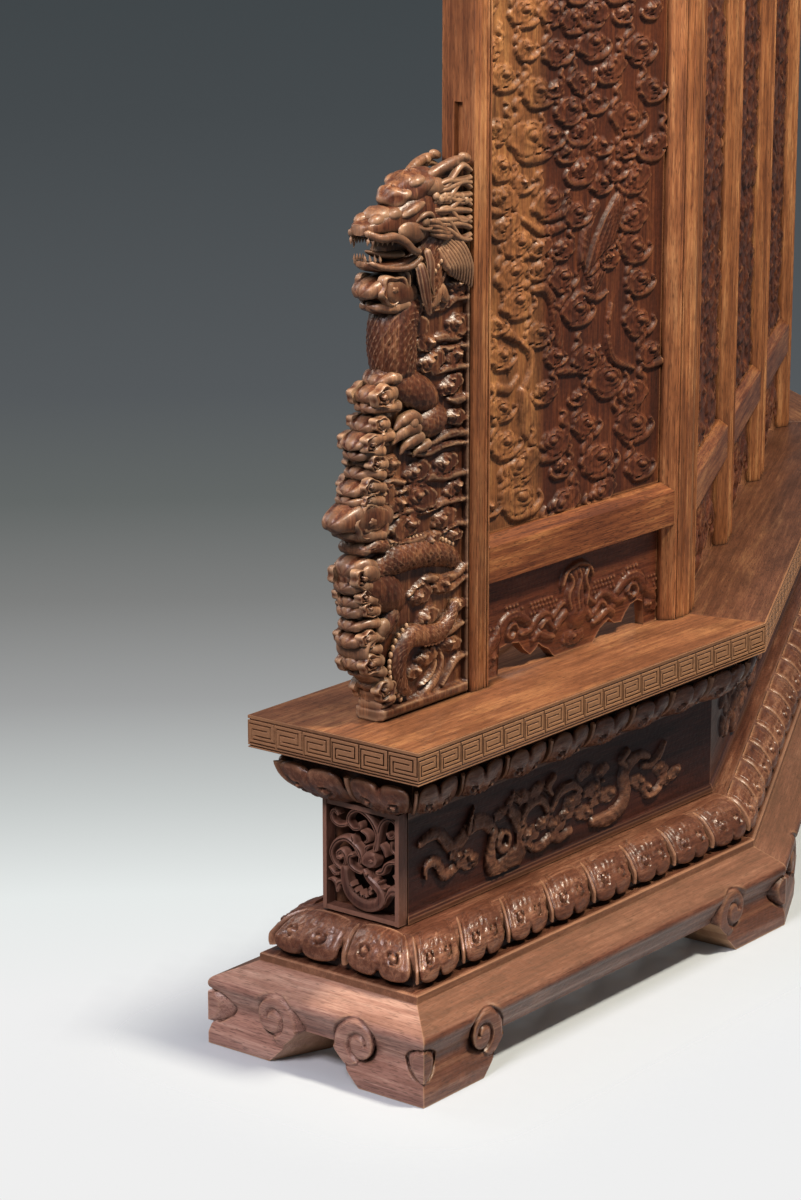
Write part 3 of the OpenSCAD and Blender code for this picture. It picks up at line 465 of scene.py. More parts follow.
def petal_block(curve, count_f, count_s):
    """One pitch of the moulding: the petal as a closed leaf over its curve, and the rib beside it.
    curve is the petal's face from its lobed end to its root, as (o, z); result in (share of pitch, o, z)."""
    curve = np.array(curve, dtype=float)
    lengths = np.concatenate([[0], np.cumsum(np.linalg.norm(np.diff(curve, axis=0), axis=1))])
    smooth_s = np.linspace(0, lengths[-1], 60)
    smooth = np.stack([np.interp(smooth_s, lengths, curve[:, k]) for k in (0, 1)], axis=1)
    for _ in range(6):
        smooth[1:-1] = (smooth[:-2] + 2 * smooth[1:-1] + smooth[2:]) / 4
    tangent = np.gradient(smooth, axis=0)
    tangent /= np.linalg.norm(tangent, axis=1)[:, None]
    normal = np.stack([tangent[:, 1], -tangent[:, 0]], axis=1)
    if normal[20, 0] < 0:
        normal = -normal

    def face(s, lift):
        """Outward distance and height at s mm along the section, lift mm off its face."""
        at = [np.interp(s, smooth_s, smooth[:, k]) + lift * np.interp(s, smooth_s, normal[:, k]) for k in (0, 1)]
        return at[0], at[1]

    petal_share, lobe_sink = 0.90, -2.0
    width, full = 106.0, lengths[-1]
    f = np.linspace(0, 1, count_f)[:, None]
    x = (f - 0.5) * width
    lobe = np.abs(np.abs(x) - width / 4) / (width / 4)
    start = 2 + 22 * (1 - np.sqrt(clamp(1 - lobe ** 2.4)))
    start = start + np.where(np.abs(x) > width / 4, 12 * lobe ** 6, 0)
    t = np.linspace(0, 1, count_s)[None, :] ** 1.15
    s = start + (full - start) * t
    from_side = width / 2 - np.abs(x)
    from_lobe = (s - start) * 0.9
    inside = np.minimum(from_side, from_lobe)
    lift = -3.5 * clamp(1 - inside / 7.0) ** 2.0 - 9.0 * (np.abs(x) / (width / 2)) ** 2.6
    lift = lift - 1.5 * bell(from_side - 11, 1.3) * (s > 34) - 1.3 * bell(from_side - 17, 1.1) * (s > 40)
    lift = lift - 4.5 * np.exp(-(np.abs(x) / 3.2) ** 1.4) * clamp((48 - s) / 26)
    eye_s = 46.0
    for middle in (-23.0, 23.0):
        out = np.hypot(x - middle, s - eye_s)
        angle = np.arctan2(s - eye_s, (x - middle) * np.sign(middle))
        knob = clamp(1 - (out / 6.5) ** 2) ** 0.5
        lift = lift + 3.4 * knob - 5.0 * bell(out - 8.0, 1.8) * (angle > -2.2) + 1.6 * bell(out - 12.0, 2.0)
        lift = lift - 2.0 * bell(out - 16.5 - 2.0 * np.maximum(angle, 0), 1.5) * (angle > -0.9)
    for leaf, height, long in ((0.0, 72.0, 13.0), (-13.0, 66.0, 8.0), (13.0, 66.0, 8.0)):
        blade = np.hypot((x - leaf) / 5.0, (s - height) / long)
        lift = lift + 1.5 * clamp(1 - blade ** 2) ** 0.6 - 1.5 * bell(blade - 1.15, 0.16)
    top_o, top_z = face(s, lift + lobe_sink * clamp(1 - (s - start) / 14) ** 2)
    lift = lift - 1.3 * bell(from_lobe - 6.5, 1.2) * (from_side > 8)
    low_o, low_z = face(s, -15.0 + 5 * clamp(1 - from_lobe / 20))
    margin = (1 - petal_share) / 2
    share = np.broadcast_to(margin + f * petal_share, s.shape)
    front = np.stack([share, top_o, top_z], axis=-1)
    rear = np.stack([share, low_o, low_z], axis=-1)
    loops = np.concatenate([front, rear[:, np.linspace(count_s - 1, 0, 6).astype(int)]], axis=1)
    petal = loft(loops)
    rib_s = np.linspace(10, full, 14)[None, :]
    across = np.array([-1.0, -0.7, 0.0, 0.7, 1.0])[:, None]
    rib_o, rib_z = face(np.broadcast_to(rib_s, (5, 14)), -5.5 - 3.0 * np.abs(across) ** 2 + 0 * rib_s)
    rib_low_o, rib_low_z = face(np.broadcast_to(rib_s, (5, 14)), -15.0 + 0 * across)
    rib_share = np.broadcast_to(0.036 + 0.034 * across, (5, 14))
    rib = loft(np.concatenate([np.stack([rib_share, rib_o, rib_z], axis=-1),
                               np.stack([rib_share, rib_low_o, rib_low_z], axis=-1)[:, ::-1]], axis=1))
    return petal, rib


def unit_object(name, shells, material):
    """Hidden object with one repeat of a pattern, for the row below."""
    points, faces = joined(shells)
    mesh = bpy.data.meshes.new(name)
    mesh.from_pydata(points.tolist(), [], faces)
    mesh.materials.append(material)
    return bpy.data.objects.new(name, mesh)


# Row of one repeat: Geometry Nodes place it Count times along X, Pitch apart, and realise the copies.
row = bpy.data.node_groups.new("carved_row", "GeometryNodeTree")
row_inputs = {}
for label, kind in (("Count", "NodeSocketInt"), ("Pitch", "NodeSocketFloat"), ("Repeat", "NodeSocketObject"),
                    ("Wood", "NodeSocketMaterial")):
    row_inputs[label] = row.interface.new_socket(label, in_out="INPUT", socket_type=kind).identifier
row.interface.new_socket("Row", in_out="OUTPUT", socket_type="NodeSocketGeometry")
given = add(row, "NodeGroupInput")
step_along = add(row, "ShaderNodeCombineXYZ", {"X": given.outputs["Pitch"]})
places = add(row, "GeometryNodeMeshLine", {"Count": given.outputs["Count"], "Offset": step_along.outputs[0]})
repeat = add(row, "GeometryNodeObjectInfo", {"Object": given.outputs["Repeat"]})
copies = add(row, "GeometryNodeInstanceOnPoints", {"Points": places.outputs[0],
                                                   "Instance": repeat.outputs["Geometry"]})
real = add(row, "GeometryNodeRealizeInstances", {0: copies.outputs[0]})
finish = add(row, "GeometryNodeSetMaterial", {"Geometry": real.outputs[0], "Material": given.outputs["Wood"]})
add(row, "NodeGroupOutput", {0: finish.outputs[0]})


def carved_row(unit, count, material):
    """Points and faces of count repeats of a unit, laid side by side along X."""
    holder = bpy.data.objects.new("row_holder", bpy.data.meshes.new("row_holder"))
    for one in (holder, unit):
        bpy.context.scene.collection.objects.link(one)
    layer = holder.modifiers.new("row", "NODES")
    layer.node_group = row
    for label, value in (("Count", count), ("Pitch", 1.0), ("Repeat", unit), ("Wood", material)):
        layer[row_inputs[label]] = value
    bpy.context.view_layer.update()
    mesh = bpy.data.meshes.new_from_object(holder.evaluated_get(bpy.context.evaluated_depsgraph_get()))
    points = np.empty(len(mesh.vertices) * 3)
    mesh.vertices.foreach_get("co", points)
    faces = [tuple(face.vertices) for face in mesh.polygons]
    bpy.data.objects.remove(holder)
    bpy.context.scene.collection.objects.unlink(unit)
    bpy.data.meshes.remove(mesh)
    return points.reshape(-1, 3), faces


def row_on_run(unit, run, count, material):
    """The row laid along one side of the plan, from mitre to mitre."""
    points, faces = carved_row(unit, count, material)
    return on_run(run, points[:, 0] / count, points[:, 1], points[:, 2]), faces


LOW_FACE = [(-18, 144), (-13, 150), (-11, 160), (-12, 175), (-22, 190), (-33, 203), (-46, 211), (-58, 214)]
LOW_STEP = [(-10, 128), (-10, 140), (-13, 142), (-33, 144), (-35, 154), (-30, 172), (-35, 190), (-47, 202),
            (-62, 210), (-88, 213), (-88, 218), (-104, 218), (-104, 131)]
HIGH_FACE = [(-20, 452), (-18, 446), (-19, 436), (-24, 421), (-33, 407), (-45, 396), (-60, 389), (-76, 384)]
HIGH_STEP = [(-104, 465), (-44, 465), (-46, 455), (-48, 445), (-47, 434), (-49, 424), (-54, 411), (-62, 401),
             (-74, 393), (-88, 390), (-88, 383), (-104, 383)]
PETALS = {0: 8, 1: 15, 2: 8, 3: 2, 4: 7, 5: 14, 6: 7, 7: 2}
petal_units = {
    "lotus_lower": (LOW_STEP, unit_object("petal_low", petal_block(LOW_FACE, 38, 27), carved_wood["middle"])),
    "lotus_upper": (HIGH_STEP, unit_object("petal_high", petal_block(HIGH_FACE, 32, 22),
                                           carved_wood["middle"]))}
SECTIONS = {"left": LEFT_RUNS, "middle": MIDDLE_RUNS, "right": RIGHT_RUNS}
for node, (step, unit) in petal_units.items():
    for section, section_runs in SECTIONS.items():
        way = carved_wood[section]
        petals = [row_on_run(unit, run, PETALS[run], way) for run in section_runs]
        petals += [loft([on_run(run, end, *crisp(step).T) for end in NEAR_ENDS]) for run in section_runs]
        lotus = wooden(f"{node}_{section}_petals", petals, way, crease=50)
        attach(lotus, "base")
        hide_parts(f"{node}_{section}")


# Ledge: three mitred boards 50 mm thick with the mortises for the leaves, and a key fret cut in the
# edge. The boards are the frame's own, their edge planed back to the depth of the fret's grooves.
GROOVE, KEY_LENGTH = 2.2, 52.0
# One key's grooves: from and to along the edge, low and high.
fret_grooves = [(0, 2.2, 471.2, 503.1), (0, 43.2, 500.9, 503.1), (41, 43.2, 483.4, 503.1), (11, 43.2, 483.4, 485.6),
                (0, 50.7, 471.2, 473.4), (48.5, 50.7, 477.4, 509.6), (6, 50.7, 477.4, 479.6), (6, 8.2, 477.4, 495.1),
                (6, 36, 492.9, 495.1), (0, KEY_LENGTH, 507.4, 509.6), (0, KEY_LENGTH, 466.9, 469.1)]


def fret_lands():
    """One key of the fret: a closed block for each land between the grooves, as tall as the land goes."""
    edges_u = np.unique([0, KEY_LENGTH] + [g[k] for g in fret_grooves for k in (0, 1)])
    edges_z = np.unique([465, 514.6] + [g[k] for g in fret_grooves for k in (2, 3)])
    open_rows, shells = {}, []
    for low, high in zip(edges_z, np.append(edges_z[1:], np.inf)):
        land = [not any(u0 <= a < u1 and z0 <= low < z1 for u0, u1, z0, z1 in fret_grooves) and high < np.inf
                for a in edges_u[:-1]] + [False]
        here, start = {}, None
        for k, solid in enumerate(land):
            if solid and start is None:
                start = k
            if not solid and start is not None:
                here[(edges_u[start], edges_u[k])] = low
                start = None
        for span in list(open_rows):
            if span in here:
                here[span] = open_rows[span]
            else:
                shells.append((span, open_rows[span], low))
        open_rows = here
    blocks = []
    for (left, right), low, high in shells:
        section = [(-4.0, low), (-0.5, low), (0.0, low + 0.5), (0.0, high - 0.5), (-0.5, high), (-4.0, high)]
        blocks.append(loft([[(u / KEY_LENGTH, o, z) for o, z in section] for u in (left, right)]))
    return blocks


def planed_copy(node, name, material, arris, reshape=None):
    """Welded copy of a frame part with its sharp edges eased by arris mm."""
    body = bmesh.new()
    body.from_mesh(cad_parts[node].data)
    bmesh.ops.remove_doubles(body, verts=body.verts, dist=2e-6)
    bmesh.ops.dissolve_limit(body, angle_limit=math.radians(0.4), verts=body.verts, edges=body.edges)
    if reshape:
        for point in body.verts:
            reshape(point)
    mesh = bpy.data.meshes.new(name)
    body.to_mesh(mesh)
    body.free()
    mesh.materials.clear()
    mesh.materials.append(material)
    rough = linked(name, mesh)
    ease = rough.modifiers.new("eased_edges", "BEVEL")
    ease.width, ease.segments, ease.limit_method, ease.angle_limit = arris / 1000, 2, "ANGLE", math.radians(32)
    ease.use_clamp_overlap = True
    bpy.context.view_layer.update()
    finished = bpy.data.meshes.new_from_object(rough.evaluated_get(bpy.context.evaluated_depsgraph_get()))
    rough.modifiers.clear()
    rough.data = finished
    finished.shade_smooth()
    finished.set_sharp_from_angle(angle=math.radians(28))
    return rough


def plane_edge(point):
    """Moves a point on the ledge's edge in to the floor of the fret's grooves."""
    here = np.array([point.co.x * 1000, point.co.y * 1000 + plan_middle])
    way = None
    for side in range(8):
        if abs((here - plan[side]) @ outward[side]) < 0.05:
            way = outward[side]
    for corner in range(8):
        if np.linalg.norm(here - plan[corner]) < 0.3:
            way = mitre_way[corner]
    if way is not None:
        point.co.x -= way[0] * GROOVE / 1000
        point.co.y -= way[1] * GROOVE / 1000


# The wings' ledge boards are painted lighter than the middle one: painted light that falls off towards the middle of
# the screen.
LIT_WING_LEDGE, SHADED_MIDDLE_LEDGE = ("#5a3621", "#8b5a3b", "#bb8759"), ("#442717", "#6c442f", "#946a49")
ledge_wood = {way: rosewood(f"waxed_rosewood_ledge_{way}", GRAIN[way],
                            *(SHADED_MIDDLE_LEDGE if way == "middle" else LIT_WING_LEDGE),
                            polish=0.42, carved=False, figure=0.7) for way in SECTIONS}
# The fret's lands are the ledge's own rosewood painted darker: painted shade on the edge below the lit top.
shaded_fret_wood = {way: rosewood(f"waxed_rosewood_fret_{way}", GRAIN[way], "#3b2115", "#5e3a27", "#875c3e",
                           polish=0.42, recess="#1c0e08", figure=0.7) for way in SECTIONS}
fret_unit = unit_object("fret_repeat", fret_lands(), shaded_fret_wood["middle"])
for section, section_runs in SECTIONS.items():
    wood = shaded_fret_wood[section]
    keys = [row_on_run(fret_unit, run, round(run_length[run] / KEY_LENGTH), wood) for run in section_runs]
    board = planed_copy(f"ledge_{section}", f"ledge_{section}_board", ledge_wood[section], 1.4, plane_edge)
    band = wooden(f"ledge_{section}_fret", keys, wood, crease=30)
    for piece in (board, band):
        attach(piece, "base")
    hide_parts(f"ledge_{section}")


# Waist: plain boards behind carved dragons and clouds on the long sides, set back under the ledge,
# between the two lotus mouldings. They are glued and pegged to posts hidden inside.
def smooth_line(points, step=2.5):
    """Points along a smooth line through the given ones, step mm apart."""
    points = np.asarray(points, dtype=float)
    padded = np.concatenate([2 * points[:1] - points[1:2], points, 2 * points[-1:] - points[-2:-1]])
    pieces = []
    for a, b, c, d in zip(padded, padded[1:], padded[2:], padded[3:]):
        t = np.linspace(0, 1, max(2, int(np.linalg.norm(c - b) / step) + 1))[:-1, None]
        pieces.append(0.5 * (2 * b + (c - a) * t + (2 * a - 5 * b + 4 * c - d) * t ** 2
                             + (3 * b - a - 3 * c + d) * t ** 3))
    return np.concatenate(pieces + [points[-1:]])


class Relief:
    """Height of carving, in mm, over a grid of x and z in mm. Motifs are cut one over another."""

    def __init__(self, x, z):
        self.x, self.z = np.meshgrid(np.asarray(x, float), np.asarray(z, float))
        self.height = np.zeros(self.x.shape)

    def near(self, low, high, margin):
        """Rows and columns of the grid that lie in a box or within margin of it."""
        columns = np.searchsorted(self.x[0], (low[0] - margin, high[0] + margin))
        rows = np.searchsorted(self.z[:, 0], (low[1] - margin, high[1] + margin))
        return slice(*rows), slice(*columns)

    def lay(self, at, inside, fresh, trench):
        """Puts a motif over what lies under it, in a narrow trench."""
        under = self.height[at]
        self.height[at] = np.where(inside, np.maximum(fresh + 0.18 * under, 0), under * (1 - trench))

    def ribbon(self, points, widths, height, lines=0, edge=0.7):
        """Band along a line, as wide as widths says, with incised lines along it."""
        line = smooth_line(points)
        share = np.linspace(0, 1, len(line))
        half = np.interp(share, np.linspace(0, 1, len(widths)), widths) / 2
        at = self.near(line.min(axis=0), line.max(axis=0), half.max() + 4)
        x, z = self.x[at], self.z[at]
        if not x.size:
            return
        gap = np.hypot(x[..., None] - line[:, 0], z[..., None] - line[:, 1])
        nearest = (gap / half).argmin(axis=-1)
        q = np.take_along_axis(gap, nearest[..., None], axis=-1)[..., 0] / half[nearest]
        fresh = height * clamp(1 - q ** 2) ** (edge * 0.5)
        for k in range(lines):
            groove = (k + 0.5 * (lines % 2)) / (lines + 0.6) if lines > 1 else 0.0
            fresh = fresh - 0.22 * height * bell((q - groove) * half[nearest], 0.9)
        self.lay(at, q < 1, fresh, 0.8 * np.exp(-np.maximum((q - 1) * half[nearest], 0) / 1.8))

    def cloud(self, x0, z0, size, height, facing=1, tilt=0.0, seed=0, flat=0.52):
        """Cloud head in two lobed terraces with a round knob, the upper one opening towards its tail."""
        at = self.near((x0, z0), (x0, z0), size * 1.5)
        x, z = (self.x[at] - x0) * facing, self.z[at] - z0
        if not x.size:
            return
        x, z = x * math.cos(tilt) + z * math.sin(tilt), (z * math.cos(tilt) - x * math.sin(tilt)) / flat
        angle, out = np.arctan2(z, x), np.hypot(x, z) / size
        d = out / (0.80 + 0.22 * np.abs(np.cos(3 * angle + seed)) ** 0.6 - 0.07 * np.cos(angle - 0.4))
        x1, z1 = (x - 0.10 * size) / (0.60 * size), (z - 0.08 * size) / (0.60 * size)
        turned = np.arctan2(z1, x1)
        inner = np.hypot(x1, z1) / (0.82 + 0.22 * np.abs(np.cos(2 * turned + seed)) ** 0.6)
        eye = np.hypot(x - 0.20 * size, z - 0.14 * size) / (0.27 * size)
        closed = clamp(0.75 + 0.9 * np.cos(turned - 0.5))
        fresh = height * (0.46 * clamp((1 - d) / 0.09) ** 0.5 + 0.14 * clamp(d) ** 3
                          + 0.26 * closed * clamp((1 - inner) / 0.12) ** 0.6 + 0.10 * clamp(inner) * (inner < 1)
                          + 0.40 * clamp(1 - eye ** 2) ** 0.5
                          - 0.20 * closed * bell(inner - 1.12, 0.10) - 0.22 * bell(eye - 1.25, 0.20))
        self.lay(at, d < 1, fresh, 0.85 * np.exp(-np.maximum(d - 1, 0) * size / 2.4))

    def leaf(self, root, tip, width, height, veins):
        """Pointed leaf from root to tip with a fan of veins."""
        root, tip = np.array(root, float), np.array(tip, float)
        length = np.linalg.norm(tip - root)
        way = (tip - root) / length
        at = self.near(np.minimum(root, tip), np.maximum(root, tip), width)
        x, z = self.x[at] - root[0], self.z[at] - root[1]
        along, aside = (x * way[0] + z * way[1]) / length, (z * way[0] - x * way[1]) / width
        half = clamp(along) ** 0.6 * clamp(1 - along) ** 0.8 * 1.25
        q = np.abs(aside) / np.maximum(half, 1e-3)
        fresh = height * (0.55 + 0.45 * clamp(1 - q ** 2)) - 0.25 * height * (
            np.cos(q * np.sign(aside) * math.pi * veins) > 0.93)
        self.lay(at, (q < 1) & (along > 0) & (along < 1), fresh,
                 0.7 * np.exp(-np.maximum(q - 1, 0) * half * width / 2.0))

    def drops(self, places, radius, height):
        """Small round drops of spray."""
        for x0, z0 in places:
            at = self.near((x0, z0), (x0, z0), radius)
            ball = clamp(1 - ((self.x[at] - x0) ** 2 + (self.z[at] - z0) ** 2) / radius ** 2) ** 0.5
            self.height[at] = np.maximum(self.height[at], height * ball)


def carved_slab(x, z, front, back):
    """Closed slab from a grid of front points down to one flat back; result in (x, depth, z)."""
    x, z, front = np.broadcast_arrays(x, z, front)
    rows, columns = x.shape
    face = np.stack([x, front, z], axis=-1).reshape(-1, 3)
    index = np.arange(rows * columns).reshape(rows, columns)
    rim = np.concatenate([index[0, :-1], index[:-1, -1], index[-1, :0:-1], index[:0:-1, 0]])
    rear = face[rim].copy()
    rear[:, 1] = back
    start = rows * columns
    faces = skin(rows, columns)
    count = len(rim)
    for k in range(count):
        after = (k + 1) % count
        faces.append((rim[after], rim[k], start + k, start + after))
    faces.append(list(range(start, start + count)))
    return np.concatenate([face, rear]), faces


def dragon_band(length, reach, seed):
    """Relief for a waist board: a dragon's head, loops and claws among clouds, measured from its outer end."""
    relief = Relief(np.arange(100, length, 3.3), np.arange(234, 368, 3.3))
    draw = np.random.default_rng(seed)
    strokes = [
        ([(118, 331), (145, 338), (165, 333), (180, 318), (195, 305), (212, 308), (235, 322), (260, 328), (280, 322),
          (295, 308), (298, 285), (290, 262)], (9, 15, 16, 14), 3),
        ([(235, 322), (240, 338), (248, 354)], (9, 3), 1),
        ([(132, 275), (130, 290), (145, 296), (158, 290), (168, 275), (180, 266), (205, 272)], (5, 11, 12, 10), 2),
        ([(300, 300), (290, 262), (305, 240), (335, 246), (360, 248), (372, 268), (368, 295), (352, 315), (335, 335),
          (352, 345)], (14, 18, 22, 22, 16, 6), 3),
        ([(318, 295), (310, 282), (320, 268), (335, 272), (338, 288), (326, 296)], (10, 9, 5), 1),
        ([(372, 300), (385, 318), (410, 326), (430, 316), (440, 296)], (8, 12, 8), 2),
        ([(385, 262), (400, 250), (425, 248), (450, 256), (470, 248), (500, 252)], (8, 11, 12, 8), 2),
        ([(450, 300), (470, 322), (505, 326), (525, 312)], (7, 12, 8), 2),
        ([(455, 352), (440, 340), (448, 326)], (8, 10, 6), 1),
        ([(560, 250), (600, 246), (640, 256), (652, 280), (645, 305), (660, 322), (690, 330), (715, 322)],
         (10, 17, 18, 18, 14, 8), 3),
        ([(700, 310), (722, 306), (742, 314), (762, 334)], (7, 10, 5), 2),
        ([(655, 345), (640, 334), (650, 322)], (8, 9, 5), 1),
        ([(700, 270), (715, 256), (740, 258), (760, 270), (790, 266)], (6, 9, 9, 5), 1)]
    stretch = reach / 820
    for points, widths, lines in strokes:
        relief.ribbon([(x * stretch, z) for x, z in points], [w * 1.6 for w in widths], 10, lines)
    for x, z, size in ((235, 275, 24), (395, 275, 20), (430, 284, 19), (462, 272, 20), (492, 284, 18), (505, 300, 20),
                       (540, 272, 21), (560, 306, 20), (575, 288, 18), (585, 330, 16), (605, 286, 20), (690, 285, 19),
                       (712, 270, 15), (752, 292, 19), (768, 270, 17), (795, 276, 16), (372, 340, 18), (412, 342, 17),
                       (540, 340, 18), (318, 328, 15), (205, 290, 15)):
        relief.cloud(x * stretch, z, size * 1.3, 9.5, facing=draw.choice((-1, 1)), tilt=draw.uniform(-0.4, 0.4),
                     seed=draw.uniform(0, 6))
    relief.drops([(358, 338), (366, 330), (350, 352), (575, 318), (590, 312)], 4.5, 7)
    return relief


# The waist boards are painted dark as painted shade under the ledge's overhang; the raised carving is mixed toward
# the paler colours.
shaded_board_wood = {way: rosewood(f"waxed_rosewood_board_{way}", GRAIN[way], "#260f08", "#3f1c11", "#5c3020",
                            polish=0.40, worn="#b58260", figure=0.8, pale_relief_and_light=("#4c2c1e", "#754b37", "#9e7359"))
              for way in GRAIN}


def paint_pale_relief_and_light(piece, share):
    """Tells the wood how much paler colour, raised carving or painted light, shows at each point of a piece."""
    piece.data.attributes.new("pale_relief_and_painted_light", "FLOAT", "POINT").data.foreach_set("value", share.astype(np.float32))


BOARD_FACE = -88.0
BOARD_SECTION = [(-106, 214), (-83, 214), (-83, 221), (-85, 223), (-85, 226), (BOARD_FACE, 228), (BOARD_FACE, 376),
                 (-85, 378), (-84, 387), (-106, 387)]


def relief_on_run(run, relief, flip):
    """The relief as a slab laid on a waist board; flip measures it from the far end of the side."""
    points, faces = carved_slab(relief.x, relief.z, BOARD_FACE - 1.3 + relief.height, BOARD_FACE - 5)
    ends = on_run(run, np.array([0.0, 1.0]), BOARD_FACE, 0.0)
    trimmed = 0 if run in (1, 5) else -BOARD_FACE
    share = (points[:, 0] - trimmed) / np.linalg.norm(ends[1] - ends[0])
    pale_relief_and_light.append(clamp((points[:, 1] - BOARD_FACE - 0.5) / 2.5))
    return on_run(run, 1 - share if flip else share, points[:, 1], points[:, 2]), faces


for section, section_runs in SECTIONS.items():
    shells, pale_relief_and_light = [], []
    for run in section_runs:
        if run in (3, 7):
            continue
        o, z = crisp(BOARD_SECTION).T
        shells.append(loft([on_run(run, end, o, z) for end in NEAR_ENDS]))
        pale_relief_and_light.append(np.zeros(len(NEAR_ENDS) * len(o)))
        length = run_length[run]
        if run in (1, 5):
            relief = dragon_band(length / 2 - 24, length / 2 - 40, 11 + run)
            shells += [relief_on_run(run, relief, flip) for flip in (False, True)]
        else:
            shells.append(relief_on_run(run, dragon_band(828, 820, 3), run in (2, 6)))
    waist = wooden(f"waist_{section}_dragons", shells, shaded_board_wood[section], crease=60)
    paint_pale_relief_and_light(waist, np.concatenate(pale_relief_and_light))
    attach(waist, "base")
    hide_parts(f"waist_boards_{section}")


# End panels of the waist: a frame of four bars round a pierced dragon and scrolling leaves, 20 mm thick.
def wing_points(side, points):
    """Points given in a wing's own x, y and z, in mm, turned into plan and mirrored to its side."""
    points = np.asarray(points, dtype=float).reshape(-1, 3)
    x, y = wing_xy(side, points[:, 0], points[:, 1])
    return np.stack([x, y, points[:, 2]], axis=1)


def flat_band(points, widths, front, back, groove=0.0):
    """Carved strap along a flat line: closed loft with a rounded face and a groove along its middle.
    Result in (across, depth, up)."""
    line = smooth_line(points, 3.0)
    way = np.gradient(line, axis=0)
    way /= np.linalg.norm(way, axis=1)[:, None]
    aside = np.stack([-way[:, 1], way[:, 0]], axis=1)
    share = np.linspace(0, 1, len(line))
    half = np.interp(share, np.linspace(0, 1, len(widths)), widths) / 2
    half = half * clamp(np.minimum(share, 1 - share) * len(line) / 2.0 + 0.25) ** 0.5
    places = np.array([(-1.0, 1.0), (-1.0, 0.45), (-0.82, 0.12), (-0.42, 0.0), (-0.16, 0.02), (0.0, groove),
                       (0.16, 0.02), (0.42, 0.0), (0.82, 0.12), (1.0, 0.45), (1.0, 1.0)])
    loops = []
    for point, n, h in zip(line, aside, half):
        at = point + n * (places[:, :1] * h)
        loops.append(np.stack([at[:, 0], front + (back - front) * places[:, 1], at[:, 1]], axis=1))
    return loft(loops)


def bar(low, high):
    """Plain bar between two corners in (x, y, z)."""
    (x0, y0, z0), (x1, y1, z1) = low, high
    ring, arris = crisp([(y0, z0), (y1, z0), (y1, z1), (y0, z1)], 1.5), min(1.5, (x1 - x0) / 3)
    return loft([[(x, y, z) for y, z in ring] for x in (x0, x0 + arris, x1 - arris, x1)])


end_straps = [
    ([(-5, 296), (-3, 310), (-12, 320), (-30, 328), (-48, 320), (-57, 303), (-50, 288), (-38, 282)],
     (9, 10, 10, 8, 6), 0.25),
    ([(-38, 282), (-31, 292), (-31, 303), (-38, 309), (-45, 303), (-43, 296)], (6, 7, 8, 9), 0.1),
    ([(22, 320), (27, 345), (14, 366), (-5, 375), (-20, 369), (-26, 356), (-16, 346), (-4, 349), (-5, 358)],
     (10, 10, 9, 7, 5), 0.25),
    ([(26, 322), (29, 345), (35, 364), (48, 373), (60, 367), (59, 351), (50, 345), (44, 352)], (8, 9, 8, 6, 5), 0.25),
    ([(-27, 350), (-40, 346), (-52, 350), (-56, 360), (-50, 367), (-43, 361)], (7, 7, 8), 0.2),
    ([(-2, 346), (8, 342), (10, 333), (4, 330)], (5, 6, 6), 0.1),
    ([(13, 327), (6, 320), (9, 312)], (5, 8, 5), 0.1),
    ([(-20, 336), (-14, 322), (-4, 305)], (9, 8, 6), 0.2),
    ([(52, 340), (53, 328), (64, 322)], (5, 6, 5), 0.1),
    ([(33, 333), (40, 324), (43, 316)], (5, 7, 4), 0.0),
    ([(25, 289), (36, 292), (42, 303), (52, 309), (64, 310)], (11, 9, 7, 5), 0.2),
    ([(20, 279), (28, 273), (33, 278)], (8, 8, 5), 0.0),
    ([(64, 268), (52, 266), (44, 256), (41, 245)], (12, 16, 9, 3), 0.1),
    ([(30, 266), (42, 268)], (6, 5), 0.0),
    ([(-60, 281), (-50, 272), (-42, 274)], (5, 8, 5), 0.1),
    ([(-45, 246), (-44, 258), (-34, 264)], (9, 12, 6), 0.1),
    ([(-62, 262), (-52, 262), (-44, 250)], (4, 8, 4), 0.0),
    ([(56, 292), (62, 284)], (5, 4), 0.0),
    ([(0, 283), (-10, 284), (-22, 290), (-24, 302), (-16, 307)], (6, 8, 9, 8), 0.15),
    ([(8, 292), (6, 285), (12, 284)], (6, 8, 6), 0.0)]
FACE_DEPTH, STRAP_BACK = wing_run - 69.0, wing_run - 84.0
carved_end_wood = rosewood("waxed_rosewood_end_panel", UPRIGHT, "#3a2019", "#5d3a2f", "#825a4b", polish=0.40,
                           worn="#b08470")
